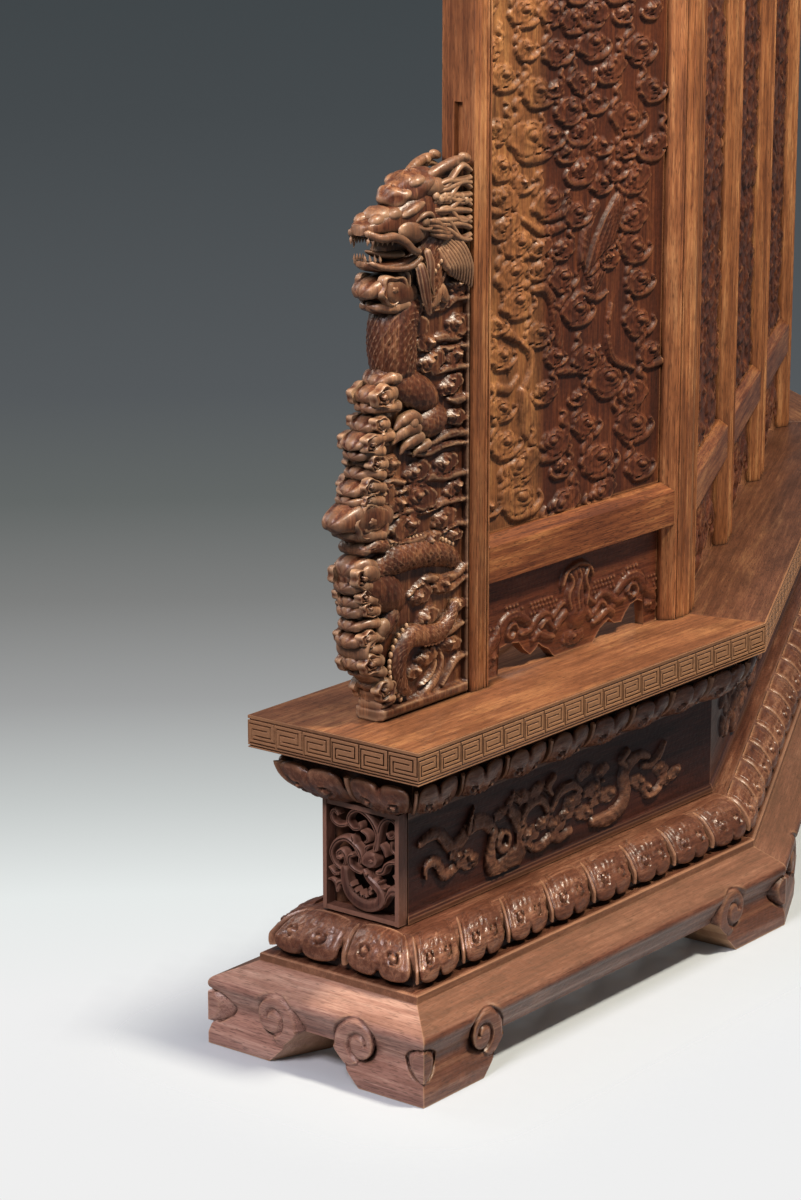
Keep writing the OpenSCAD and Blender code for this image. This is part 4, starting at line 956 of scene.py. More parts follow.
for side, section in ((-1, "left"), (1, "right")):
    straps = [flat_band(points, widths, FACE_DEPTH, STRAP_BACK, groove) for points, widths, groove in end_straps]
    body_line = [(-33, 288), (-31, 266), (-23, 249), (-5, 238), (15, 237), (31, 246), (34, 258), (24, 270), (12, 278),
                 (4, 290)]
    straps.append(flat_band(body_line, (14, 17, 20, 20, 18, 14, 11), FACE_DEPTH + 2, STRAP_BACK))
    straps.append(flat_band([(3, 300), (14, 306), (26, 313)], (18, 27, 20), FACE_DEPTH + 3, STRAP_BACK))
    for k, (x, z) in enumerate(((-20, 262), (-12, 255), (-3, 252), (6, 251), (13, 257), (15, 264))):
        straps.append(flat_band([(x - 3, z - 2), (x, z + 2), (x + 3, z - 2)], (5, 6, 5), FACE_DEPTH + 1, STRAP_BACK))
    for x, z, r in ((19, 306, 3.6), (-38, 300, 4.5), (10, 285, 3.0)):
        knob = [(x - r, z), (x, z), (x + r, z)]
        straps.append(flat_band(knob, (r * 1.2, r * 2.0, r * 1.2), FACE_DEPTH + 5, STRAP_BACK + 4))
    shells = [(np.stack([p[:, 1], -1.05 * p[:, 0], 300 + 1.05 * (p[:, 2] - 300)], axis=1), f) for p, f in straps]
    frame_bars = [bar((802, -72, 214), (822, -65, 387)), bar((802, 65, 214), (822, 72, 387)),
                  bar((802, -66, 379.5), (821, 66, 387)), bar((802, -66, 214), (821, 66, 221))]
    end_panel = wooden(f"waist_end_{section}_openwork", [(wing_points(side, p), f) for p, f in shells + frame_bars],
                       carved_end_wood, crease=40)
    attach(end_panel, "base")
    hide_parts(f"waist_end_{section}")

# Leaves: five framed panels that stand on the ledge by tenons. Stiles and rails are planed rosewood
# 60 mm thick with a sloped moulding towards the panels, mortised together and waxed.
LEDGE_TOP, STILE, FRAME_EDGE = 515.0, 58.0, 0.3
LEAVES = {"left_wing": 590.0, "inner_left": 540.0, "centre": 540.0, "inner_right": 540.0, "right_wing": 590.0}
LEAF_WAY = {leaf: {"left_wing": "left", "right_wing": "right"}.get(leaf, "middle") for leaf in LEAVES}


def leaf_points(leaf, points):
    """Points in a leaf's own measure (from its left edge seen from the front, depth, height above the ledge)."""
    points = np.asarray(points, dtype=float).reshape(-1, 3)
    across, depth, up = points[:, 0], points[:, 1], points[:, 2] + LEDGE_TOP
    if leaf == "left_wing":
        return wing_points(-1, np.stack([LEAVES[leaf] - across, depth, up], axis=1))
    if leaf == "right_wing":
        return wing_points(1, np.stack([across, depth, up], axis=1))
    left = {"inner_left": -1.5, "centre": -0.5, "inner_right": 0.5}[leaf] * LEAVES[leaf]
    return np.stack([left + across, depth, up], axis=1)


def on_leaf(leaf, shells):
    """Shells in a leaf's own measure, put in their place."""
    return [(leaf_points(leaf, points), faces) for points, faces in shells]


stile_wood = rosewood("waxed_rosewood_stile", UPRIGHT, "#6e4127", "#a1673f", "#cc9463", polish=0.40, carved=False,
                      figure=1.1, dirt_and_shade_reach=0.012)
rail_wood = {way: rosewood(f"waxed_rosewood_rail_{way}", GRAIN[way], "#5a2e19", "#854e2d", "#ad7447", polish=0.40,
                           carved=False, figure=1.1, dirt_and_shade_reach=0.012) for way in SECTIONS}
for leaf, way in LEAF_WAY.items():
    for node, wood, slot in ((f"stiles_{leaf}", stile_wood, "frame_wood"),
                             (f"rails_{leaf}", rail_wood[way], "frame_wood")):
        timber = planed_copy(node, f"{node}_planed", wood, arris=1.5)
        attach(timber, f"leaf_{leaf}")
        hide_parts(node)

    # Three fine beads run up each face of a stile, planed from the solid.
    beads = [loft([[(x + 2.2 * math.cos(a), sign * (29.0 + 3.4 * math.sin(a)), z)
                    for a in np.linspace(0, 2 * math.pi, 8, endpoint=False)[::-sign]] for z in (1.0, 1698.0)])
             for edge in (12.0, 32.0, 38.5) for x in (edge, LEAVES[leaf] - edge) for sign in (-1, 1)]
    beading = wooden(f"stile_beads_{leaf}", on_leaf(leaf, beads), stile_wood, crease=60)
    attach(beading, f"leaf_{leaf}")


# Panels: one wide board in the grooves of each leaf, carved on both faces with cloud heads, trailing
# ribbons and leaves that stand 9 mm above a scraped ground.
PANEL_LOW, PANEL_HIGH, GROUND = 231.0, 1464.0, 7.0
# Half thickness of the boards' tongues and how far they reach into the grooves.
TONGUE, REACH = 5.9, 7.6
# The paler colours show as painted light along the left side of each panel.
panel_wood = rosewood("waxed_rosewood_panel", UPRIGHT, "#301307", "#562813", "#80492a", polish=0.50, worn="#c2865a",
                      figure=0.8, recess="#140602", dirt_and_shade_reach=0.028, pale_relief_and_light=("#694024", "#935e36", "#bb8450"))


def trail(relief, x, z, size, facing, height):
    """Wavy tails that leave a cloud head below and above."""
    line = [(-0.9, -0.20), (-0.3, -0.62), (0.5, -0.66), (1.1, -0.58), (1.5, -0.26), (1.35, 0.05)]
    relief.ribbon([(x + facing * a * size, z + b * size) for a, b in line],
                  [w * size for w in (0.20, 0.40, 0.44, 0.36, 0.14)], height, 0)
    stem = [(-0.5, 0.1), (-0.95, 0.52), (-0.5, 0.86), (-0.8, 1.18), (-0.4, 1.36)]
    relief.ribbon([(x + facing * a * size, z + b * size) for a, b in stem],
                  [w * size for w in (0.30, 0.42, 0.34, 0.30, 0.10)], 0.85 * height, 0)


def fill_clouds(relief, draw, taken, sizes, gap):
    """Cloud heads in loose courses wherever none stands yet."""
    low_x, high_x, low_z, high_z = relief.x.min() + 16, relief.x.max() - 16, relief.z.min() + 12, relief.z.max() - 12
    course = 0
    for z in np.arange(low_z, high_z, 34):
        course += 1
        for x in np.arange(low_x + (course % 2) * 38, high_x, 76):
            x1, z1 = x + draw.uniform(-13, 13), z + draw.uniform(-9, 9)
            size, facing = draw.uniform(*sizes), draw.choice((-1, 1))
            if all(np.hypot(x1 - a, (z1 - b) / 0.7) > gap * (size + s) for a, b, s in taken):
                taken.append((x1, z1, size))
                trail(relief, x1, z1, size, facing, 5.6)
                relief.cloud(x1, z1, size, 8.6, facing, draw.uniform(-0.2, 0.2), draw.uniform(0, 6), flat=0.50)


SEEN_CLOUDS = [(138, 665, 32), (123, 622, 36), (135, 577, 34), (95, 500, 27), (190, 522, 28), (95, 420, 27),
               (105, 365, 32), (155, 325, 38), (143, 273, 42), (240, 345, 35), (265, 245, 38), (250, 600, 30),
               (200, 655, 22), (200, 622, 24), (258, 645, 24), (290, 545, 34), (320, 465, 32), (375, 425, 40),
               (320, 360, 30), (355, 300, 40), (450, 390, 36), (450, 340, 40), (470, 270, 32), (460, 505, 34),
               (460, 570, 32), (445, 625, 34), (450, 675, 32), (370, 245, 32), (145, 1008, 30), (215, 1005, 30),
               (95, 918, 30), (180, 890, 34), (230, 945, 30), (323, 950, 34), (380, 910, 32), (450, 935, 34),
               (265, 855, 32), (295, 895, 26), (90, 840, 28), (90, 785, 28), (165, 820, 46), (105, 738, 30),
               (110, 697, 28), (215, 818, 28), (420, 830, 38), (485, 870, 30), (350, 735, 24), (450, 735, 34),
               (285, 695, 28), (215, 720, 36), (215, 430, 26), (235, 480, 22)]


def seen_panel(relief, draw):
    """The left wing's front, motif by motif as it is carved."""
    relief.ribbon([(180, 590), (210, 587), (230, 562), (242, 520), (250, 478), (252, 455)],
                  (12, 19, 22, 18, 8), 7.0, 2)
    relief.ribbon([(386, 542), (378, 505), (384, 470), (402, 448), (452, 430)], (6, 13, 15, 8), 7.0, 2)
    relief.ribbon([(340, 700), (318, 668), (306, 625), (312, 586)], (22, 24, 20, 8), 8.0, 3)
    relief.leaf((314, 554), (415, 724), 60, 8.4, 6)
    relief.leaf((318, 592), (402, 640), 15, 7.0, 2)
    relief.leaf((75, 556), (150, 512), 20, 7.5, 3)
    relief.leaf((60, 540), (120, 470), 14, 6.5, 2)
    relief.ribbon([(150, 512), (170, 500), (176, 472), (160, 440), (150, 415)], (12, 18, 12, 16, 22), 6.5, 1)
    relief.ribbon([(150, 438), (164, 405), (160, 372)], (16, 46, 26), 8.4, 0, edge=1.1)
    relief.ribbon([(246, 455), (300, 447), (330, 436), (360, 430)], (14, 11, 9, 6), 6.0, 1)
    relief.ribbon([(230, 560), (270, 550), (300, 566), (345, 555), (375, 562)], (8, 14, 16, 12, 6), 6.0, 1)
    relief.ribbon([(60, 455), (90, 452), (120, 446), (140, 462)], (10, 16, 14, 8), 5.5, 1)
    relief.ribbon([(150, 700), (200, 676), (250, 678), (300, 690)], (8, 15, 14, 6), 6.0, 2)
    relief.ribbon([(420, 700), (440, 780), (425, 790), (400, 770)], (8, 12, 8), 6.0, 1)
    taken = [(322, 584, 26), (335, 618, 32), (358, 652, 36), (382, 688, 34), (408, 722, 22), (218, 578, 22),
             (243, 530, 24), (251, 482, 22), (381, 512, 24),
             (386, 466, 24), (428, 436, 24), (172, 492, 20), (152, 405, 34)]
    for x, z, size in SEEN_CLOUDS:
        facing = 1 if (x * 7 + z) % 3 else -1
        trail(relief, x, z, size, facing, 5.8)
        taken.append((x, z, size))
    for x, z, size in SEEN_CLOUDS:
        facing = 1 if (x * 7 + z) % 3 else -1
        relief.cloud(x, z, 1.18 * size, 8.8, facing, draw.uniform(-0.2, 0.2), draw.uniform(0, 6), flat=0.50)
    fill_clouds(relief, draw, taken, (20, 34), 0.93)


def other_panel(relief, draw):
    """The same manner of work on the other panels, each drawn afresh."""
    middle = relief.x.mean()
    for turn_z in np.arange(320, 1400, 260):
        swing = draw.uniform(60, 110) * draw.choice((-1, 1))
        relief.ribbon([(middle - swing, turn_z), (middle, turn_z + 45), (middle + swing, turn_z + 110),
                       (middle, turn_z + 190)], (12, 24, 26, 10), 7.0, 2)
        relief.leaf((middle + swing, turn_z + 60), (middle + 0.2 * swing, turn_z + 150), 30, 8, 4)
    fill_clouds(relief, draw, [], (32, 48), 0.70)


for number, (leaf, width) in enumerate(LEAVES.items()):
    left, right = STILE + FRAME_EDGE, width - STILE - FRAME_EDGE
    tongue = bar((STILE - REACH, -TONGUE, PANEL_LOW - REACH), (width - STILE + REACH, TONGUE, PANEL_HIGH + REACH))
    for face, sign in (("front", -1), ("back", 1)):
        cell = 2.7 if number == 0 and sign < 0 else 4.7 if sign < 0 else 5.6
        relief = Relief(np.linspace(left, right, int((right - left) / cell)),
                        np.linspace(PANEL_LOW + FRAME_EDGE, PANEL_HIGH - FRAME_EDGE,
                                    int((PANEL_HIGH - PANEL_LOW) / cell)))
        draw = np.random.default_rng(40 + 2 * number + (sign > 0))
        (seen_panel if number == 0 else other_panel)(relief, draw)
        points, faces = carved_slab(relief.x, relief.z, sign * (GROUND + relief.height), 0.0)
        shells = [(points, faces)] + ([tongue] if sign < 0 else [])
        panel = wooden(f"panel_{leaf}_{face}", on_leaf(leaf, shells), panel_wood, crease=70)
        across = np.concatenate([np.asarray(p).reshape(-1, 3)[:, 0] for p, f in shells])
        # Painted light: a pool of paler colour along each panel's left side, full on the left wing and weaker on the
        # other leaves.
        paint_pale_relief_and_light(panel, (0.4 if number else 1.0) * clamp((215 - across) / 40))
        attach(panel, f"leaf_{leaf}")
        if sign < 0:
            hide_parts(f"panel_{leaf}")


# Aprons: boards under the mid rails with an arched lower edge, carved with waves, a peak of rock in
# the middle and rows of spray, and held by tongues in the stiles.
# The lower edge and the sea are measured on a wing's leaf, 474 mm wide between its stiles.
APRON_SPAN = 474
apron_x = (58, 95, 97, 100, 120, 150, 162, 180, 192, 203, 215, 230, 240, 246, 350, 355, 370, 395, 410, 430, 440, 455,
           475, 490, 493, 495, 532)
apron_z = (0, 0, 28, 44, 47, 43, 30, 17, 22, 30, 22, 15, 4, 0, 0, 6, 20, 30, 20, 18, 30, 42, 46, 40, 22, 0, 0)
apron_wood = {way: rosewood(f"waxed_rosewood_apron_{way}", GRAIN[way], "#431f12", "#643420", "#8a5536", polish=0.38,
                            worn="#c08a60", figure=0.8) for way in SECTIONS}


def sea(relief):
    """Waves, rock and spray, measured on a wing leaf's apron."""
    for mirror in (False, True):
        def at(points):
            """Points on the wing's apron, or mirrored to its other half."""
            return [(LEAVES["left_wing"] - x if mirror else x, z) for x, z in points]
        relief.drops(at([(62 + 9 * i + 4.5 * (j % 2), 54 + 8 * j) for j in range(4) for i in range(4)]), 3.4, 4)
        relief.drops(at([(118 + 9 * i + 4.5 * (j % 2), 88 + 8 * j) for j in range(3) for i in range(6 - j)]), 3.4, 4)
        relief.drops(at([(182 + 9 * i + 4.5 * (j % 2), 82 + 8 * j) for j in range(3) for i in range(9 - j)]), 3.4, 4)
        for line, widths, lines in (
                ([(70, 40), (78, 52), (95, 66), (112, 82), (136, 88), (160, 80), (178, 66), (184, 50)],
                 (16, 20, 20, 14, 12), 2),
                ([(146, 66), (136, 76), (122, 72), (118, 60), (130, 54), (138, 60)], (5, 8, 8, 5), 1),
                ([(156, 56), (172, 56), (188, 64), (204, 74), (222, 74), (236, 66), (250, 74), (266, 82), (280, 76)],
                 (10, 12, 10, 6), 2),
                ([(205, 50), (212, 61), (224, 63), (236, 52), (244, 44)], (7, 10, 8), 1),
                ([(186, 40), (200, 46), (222, 38), (240, 34)], (10, 12, 9), 1),
                ([(248, 46), (262, 58), (282, 66), (300, 66)], (10, 14, 12), 2)):
            relief.ribbon(at(line), [w * 1.1 for w in widths], 6.5, lines)
        relief.cloud(*at([(78, 30)])[0], 20, 6.5, -1 if mirror else 1, 0.3, 1.0)
        relief.cloud(*at([(292, 22)])[0], 26, 6.5, -1 if mirror else 1, 0.0, 2.0)
    relief.ribbon([(305, 58), (303, 90), (306, 122)], (54, 40, 46), 8.0, 0, edge=1.0)
    for line in ([(262, 112), (270, 128), (286, 136), (306, 139), (324, 136), (338, 126), (344, 112)],
                 [(284, 70), (278, 92), (288, 112), (282, 126)], [(304, 66), (300, 92), (308, 116), (304, 132)],
                 [(326, 70), (330, 92), (322, 112), (330, 126)]):
        relief.ribbon(line, (7, 10, 10, 6), 8.8, 1)


def sampled(relief, x, z):
    """Height of a relief at any points, from its grid."""
    gx, gz = relief.x[0], relief.z[:, 0]
    i = np.clip((x - gx[0]) / (gx[1] - gx[0]), 0, len(gx) - 1.001)
    j = np.clip((z - gz[0]) / (gz[1] - gz[0]), 0, len(gz) - 1.001)
    i0, j0 = i.astype(int), j.astype(int)
    fi, fj, h = i - i0, j - j0, relief.height
    low, high = (h[j, i0] * (1 - fi) + h[j, i0 + 1] * fi for j in (j0, j0 + 1))
    return low * (1 - fj) + high * fj


for number, (leaf, width) in enumerate(LEAVES.items()):
    scale = (width - 2 * STILE) / APRON_SPAN
    cell = 2.4 if number == 0 else 4.0
    relief = Relief(np.arange(56, 536, cell), np.arange(-2, 162, cell))
    sea(relief)
    x = np.linspace(STILE + FRAME_EDGE, width - STILE - FRAME_EDGE, int(APRON_SPAN * scale / cell))
    x = np.unique(np.concatenate([x, STILE + (np.array(apron_x[1:-1]) - STILE) * scale]))
    measured = STILE + (x - STILE) / scale
    rise = np.linspace(0, 1, int(160 / cell))[:, None]
    low = np.interp(measured, apron_x, apron_z)
    z = low + (159.7 - low) * rise
    x, measured, z = np.broadcast_arrays(x, measured, z)
    tongues = [bar((STILE - REACH, -TONGUE, 0.4), (STILE + 8, TONGUE, 167)),
               bar((width - STILE - 8, -TONGUE, 0.4), (width - STILE + REACH, TONGUE, 167)),
               bar((STILE + 2, -TONGUE, 140), (width - STILE - 2, TONGUE, 167.4))]
    faces_of = []
    for sign in (-1, 1):
        height = sampled(relief, measured if sign < 0 else LEAVES["left_wing"] - measured, z)
        lip = 1.6 * bell(z - z[0], 3.0)
        front = sign * (GROUND + np.maximum(height - lip * (height > 3), lip))
        faces_of.append(carved_slab(x, z, front, 0.0))
    apron = wooden(f"apron_{leaf}_waves", on_leaf(leaf, faces_of + tongues), apron_wood[LEAF_WAY[leaf]], crease=70)
    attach(apron, f"leaf_{leaf}")
    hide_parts(f"apron_{leaf}")


# Brow panels: narrow boards between the two upper rails, carved with clouds like the panels.
for number, (leaf, width) in enumerate(LEAVES.items()):
    left, right = STILE + FRAME_EDGE, width - STILE - FRAME_EDGE
    shells = [bar((STILE - REACH, -TONGUE, 1518.4), (width - STILE + REACH, TONGUE, 1643.6))]
    for sign in (-1, 1):
        relief = Relief(np.linspace(left, right, int((right - left) / 4.0)), np.linspace(1526.3, 1635.7, 28))
        draw = np.random.default_rng(80 + 2 * number + (sign > 0))
        middle = (left + right) / 2
        for way in (-1, 1):
            relief.ribbon([(middle + way * 34, 1580), (middle + way * 90, 1604), (middle + way * 150, 1560),
                           (middle + way * 205, 1590)], (22, 20, 16, 6), 7.5, 3)
        relief.cloud(middle, 1581, 34, 8.8, 1, 0.0, 0.5)
        fill_clouds(relief, draw, [(middle, 1581, 34)], (20, 30), 0.72)
        shells.append(carved_slab(relief.x, relief.z, sign * (GROUND + relief.height), 0.0))
    brow = wooden(f"brow_{leaf}_clouds", on_leaf(leaf, shells), apron_wood[LEAF_WAY[leaf]], crease=70)
    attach(brow, f"leaf_{leaf}")
    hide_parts(f"brow_{leaf}")

# Dragon spandrels: one thick board of rosewood against each outer stile, standing on the ledge by a
# tenon and cut right through its edge to a dragon coiling in clouds. a is measured outwards from the
# stile, y from front to back and z up from the ledge, in mm.
def tube(line, radii, depths=None, around=20, skin_of=None, step=3.0, square=1.0):
    """Closed limb along a smooth line in (a, y, z): radii are its half widths in the board's plane and
    depths its half thickness. skin_of gives its skin's height from length, angle and radius."""
    around, step = round(around * fineness), step / fineness
    line = smooth_line(line, step)
    share = np.linspace(0, 1, len(line))
    radius = np.interp(share, np.linspace(0, 1, len(radii)), radii)
    depth = radius if depths is None else np.interp(share, np.linspace(0, 1, len(depths)), depths)
    ends = np.minimum(share, 1 - share) * len(line) * step
    blunt = np.sqrt(np.clip(1 - (1 - clamp(ends / np.maximum(radius, 1))) ** 2, 0.02, 1))
    way = np.gradient(line, axis=0)
    way /= np.linalg.norm(way, axis=1)[:, None]
    side = np.cross(way, (0.0, 1.0, 0.0))
    side /= np.maximum(np.linalg.norm(side, axis=1), 1e-6)[:, None]
    front = np.cross(side, way)
    length = np.concatenate([[0], np.cumsum(np.linalg.norm(np.diff(line, axis=0), axis=1))])
    turned = np.linspace(0, 2 * math.pi, around, endpoint=False)
    lift = skin_of(length[:, None], turned[None, :], radius[:, None]) * blunt[:, None] if skin_of else 0.0
    round_x = np.sign(np.cos(turned)) * np.abs(np.cos(turned)) ** square
    round_y = np.sign(np.sin(turned)) * np.abs(np.sin(turned)) ** square
    loops = (line[:, None, :] + side[:, None, :] * (((radius * blunt)[:, None] + lift) * round_x)[..., None]
             + front[:, None, :] * (((depth * blunt)[:, None] + lift) * round_y)[..., None])
    return loft(loops)


def scales(pitch, height):
    """Skin of round scales in staggered rows on a limb, each lying over the root of the next."""
    def scaly(length, turned, radius):
        """Lift at points that lie length mm along the limb and turned round it."""
        rows = np.round(2 * math.pi * np.median(radius) / pitch)
        step, reach, half_width = 0.62, 0.86, 0.56
        u, v = np.broadcast_arrays(length / (step * pitch), turned * rows / (2 * math.pi))
        lift = np.full(u.shape, -0.5)
        for back in (1, 0, -1):
            row = np.floor(u) + back
            aside = np.mod(v + 0.5 * np.mod(row, 2) + 0.5, 1.0) - 0.5
            down = (u - row) * step
            inside = (down / reach) ** 2 + (aside / half_width) ** 2 < 1
            lift = np.where(inside & (down > -0.1), 0.15 + 0.85 * down / reach, lift)
        return height * lift
    return scaly


def ball(centre, radii, tilt=0.0, rings=12, around=20, skin_of=None):
    """Closed egg shape with its long axis tilted in the board's plane."""
    rings, around = round(rings * fineness), round(around * fineness)
    up = np.linspace(-math.pi / 2, math.pi / 2, rings + 1)[1:-1][:, None]
    turned = np.linspace(0, 2 * math.pi, around, endpoint=False)[None, :]
    lift = skin_of(up, turned) if skin_of else 0.0
    x = (radii[0] + lift) * np.cos(up) * np.cos(turned)
    y = (radii[1] + lift) * np.cos(up) * np.sin(turned)
    z = (radii[2] + lift) * np.sin(up) * np.ones_like(turned)
    along, up = x * math.cos(tilt) - z * math.sin(tilt), x * math.sin(tilt) + z * math.cos(tilt)
    body = np.stack([along, y, up], axis=-1) + centre
    count = (rings - 1) * around
    ends = np.array([-radii[2], radii[2]])
    caps = np.stack([-ends * math.sin(tilt), 0 * ends, ends * math.cos(tilt)], axis=1) + centre
    faces = skin(rings - 1, around, wrap=True)
    for k in range(around):
        after = (k + 1) % around
        faces.append((after, k, count))
        faces.append((count - around + k, count - around + after, count + 1))
    return np.concatenate([body.reshape(-1, 3), caps]), faces


def cloud_scroll(a, z, size, sign):
    """Cloud head as its own closed form on one face of the board: lobed, with a rolled rim winding in to a
    knob. face is how far its front stands from the board's middle."""
    face, depth, tilt, flat, around = 27.5, 12.0, 0.1, 0.66, 36
    rings = np.array([0.0, 0.10, 0.19, 0.25, 0.31, 0.40, 0.50, 0.58, 0.66, 0.75, 0.84, 0.92, 0.98, 1.0])[:, None]
    angle = np.linspace(0, 2 * math.pi, around, endpoint=False)[None, :]
    lobes = 1 + 0.10 * np.cos(5 * angle + a) + 0.06 * np.cos(3 * angle - 1.3 * a) + 0.12 * np.cos(angle - 0.4)
    wind = np.mod(angle + 2.4, 2 * math.pi) / (2 * math.pi)
    lift = (-0.30 * bell(rings - (0.72 - 0.36 * wind), 0.085) - 0.42 * clamp((rings - 0.80) / 0.20) ** 3
            + 0.34 * np.sqrt(clamp(1 - (rings / 0.26) ** 2)) - 0.30 * bell(rings - 0.31, 0.05)
            + 0.10 * bell(rings - 0.85, 0.09)) * min(size * 0.42, 13.0)
    out = -size * rings * lobes * np.cos(angle)
    up = size * rings * lobes * np.sin(angle) * flat
    out, up = out * math.cos(tilt) - up * math.sin(tilt), out * math.sin(tilt) + up * math.cos(tilt)
    out = out + a + 0.06 * size * (1 - rings)
    up = up + z + 0.05 * size * (1 - rings)
    front = np.stack([out, sign * (face + lift), up], axis=-1)[1:]
    rear = front[-1:].copy()
    rear[..., 1] = sign * (face - depth)
    loops = np.concatenate([front, rear])
    count = len(loops) * around
    faces = skin(len(loops), around, wrap=True)
    middle = np.array([[a + 0.06 * size, sign * (face + lift[0, 0]), z + 0.05 * size]])
    faces += [((k + 1) % around, k, count) for k in range(around)]
    faces.append(tuple(range(count - around, count)))
    return np.concatenate([loops.reshape(-1, 3), middle]), faces


def edge_distance(x, z, outline):
    """Distance in mm from points to an outline, positive inside it."""
    starts, ends = outline, np.roll(outline, -1, axis=0)
    best = np.full(x.shape, 1e9)
    inside = np.zeros(x.shape, bool)
    for (x0, z0), (x1, z1) in zip(starts, ends):
        dx, dz = x1 - x0, z1 - z0
        share = clamp(((x - x0) * dx + (z - z0) * dz) / (dx * dx + dz * dz))
        best = np.minimum(best, np.hypot(x - x0 - share * dx, z - z0 - share * dz))
        if z0 != z1:
            inside ^= ((z0 > z) != (z1 > z)) & (x < dx * (z - z0) / dz + x0)
    return np.where(inside, best, -best)


def cut_board(low, high, cell, distance, face_of):
    """Closed board cut to an outline: a grid whose edge cells are drawn on to the outline. face_of gives
    the height of each face from the board's middle, from x, z, distance to the edge and side."""
    x, z = np.meshgrid(np.arange(low[0], high[0] + cell, cell), np.arange(low[1], high[1] + cell, cell))
    d = distance(x, z)
    close = d > -0.3 * cell
    first, second = slice(-1), slice(1, None)
    corners = ((first, first), (second, first), (first, second), (second, second))
    keep = np.all([close[corner] for corner in corners], axis=0)
    touching = np.zeros((4,) + x.shape, bool)
    for layer, corner in zip(touching, corners):
        layer[corner] = keep
    used, whole = touching.any(axis=0), touching.all(axis=0)
    rim = used & ~whole
    for _ in range(3):
        small = 0.4
        dx = (distance(x + small, z) - distance(x - small, z)) / (2 * small)
        dz = (distance(x, z + small) - distance(x, z - small)) / (2 * small)
        slope = np.maximum(np.hypot(dx, dz), 0.5)
        x, z = np.where(rim, x - d * dx / slope ** 2, x), np.where(rim, z - d * dz / slope ** 2, z)
        d = distance(x, z)
    number = np.cumsum(used.ravel()).reshape(used.shape) - 1
    count = int(used.sum())
    d = np.where(rim, 0.0, np.maximum(d, 0.0))
    points = [np.stack([x[used], sign * face_of(x, z, d, sign)[used], z[used]], axis=1) for sign in (-1, 1)]
    rows, columns = np.nonzero(keep)
    ring = ((0, 0), (0, 1), (1, 1), (1, 0))
    quads = np.stack([number[rows + down, columns + right] for down, right in ring], axis=1)
    faces = quads.tolist() + (quads[:, ::-1] + count).tolist()
    edges = set(map(tuple, np.concatenate([quads[:, [k, (k + 1) % 4]] for k in range(4)]).tolist()))
    faces += [(b, a, a + count, b + count) for a, b in edges if (b, a) not in edges]
    return np.concatenate(points), faces


def haired(length, turned, radius):
    """Combed hair: fine grooves along the strand."""
    return 0.10 * radius * np.cos(9 * turned + 0.02 * length)


def layered(length, turned, radius):
    """Cloud edge cut in three layers, with grooves along it."""
    layers = -2.6 * bell(np.abs(np.sin(turned)) - 0.42, 0.13)
    return layers + 1.2 * np.cos(length / 9.0) * np.abs(np.cos(turned))


BOARD = np.array([(0, 0), (213, 0), (213, 26), (216, 50), (230, 72), (242, 92), (246, 112), (250, 140), (250, 172),
                  (252, 200), (246, 232), (238, 258), (258, 288), (280, 302), (276, 316), (254, 332), (248, 350),
                  (236, 364), (232, 386), (232, 400), (236, 412), (222, 434), (202, 450), (208, 468), (202, 490),
                  (188, 506), (150, 526), (148, 570), (148, 600), (190, 616), (206, 632), (186, 648), (160, 660),
                  (138, 676), (130, 700), (130, 722), (146, 742), (150, 760), (136, 774), (108, 786), (60, 792),
                  (50, 798), (0, 800)], dtype=float)
# Cloud heads on the faces: a, z, half width and the way each faces.
BOARD_CLOUDS = [(22, 566, 32, 1), (138, 578, 44, 1), (86, 519, 33, 1), (40, 478, 30, 1), (28, 428, 26, 1),
                (52, 362, 30, 1), (122, 362, 32, 1), (192, 382, 34, -1), (112, 322, 40, 1), (200, 340, 32, 1),
                (56, 280, 30, 1), (146, 284, 36, -1), (86, 252, 22, 1), (234, 306, 44, 1), (226, 352, 24, -1),
                (236, 398, 24, 1), (212, 484, 30, -1), (204, 430, 26, 1), (112, 172, 26, 1), (36, 84, 24, 1),
                (100, 76, 28, 1), (126, 58, 20, -1), (198, 44, 26, 1), (96, 136, 28, 1), (20, 624, 28, 1),
                (74, 606, 28, 1), (182, 634, 36, 1), (100, 548, 26, -1), (30, 520, 22, -1), (30, 322, 24, -1),
                (166, 320, 24, -1), (30, 250, 20, 1), (20, 140, 20, 1), (60, 178, 22, -1), (236, 94, 28, -1),
                (228, 132, 22, 1)]
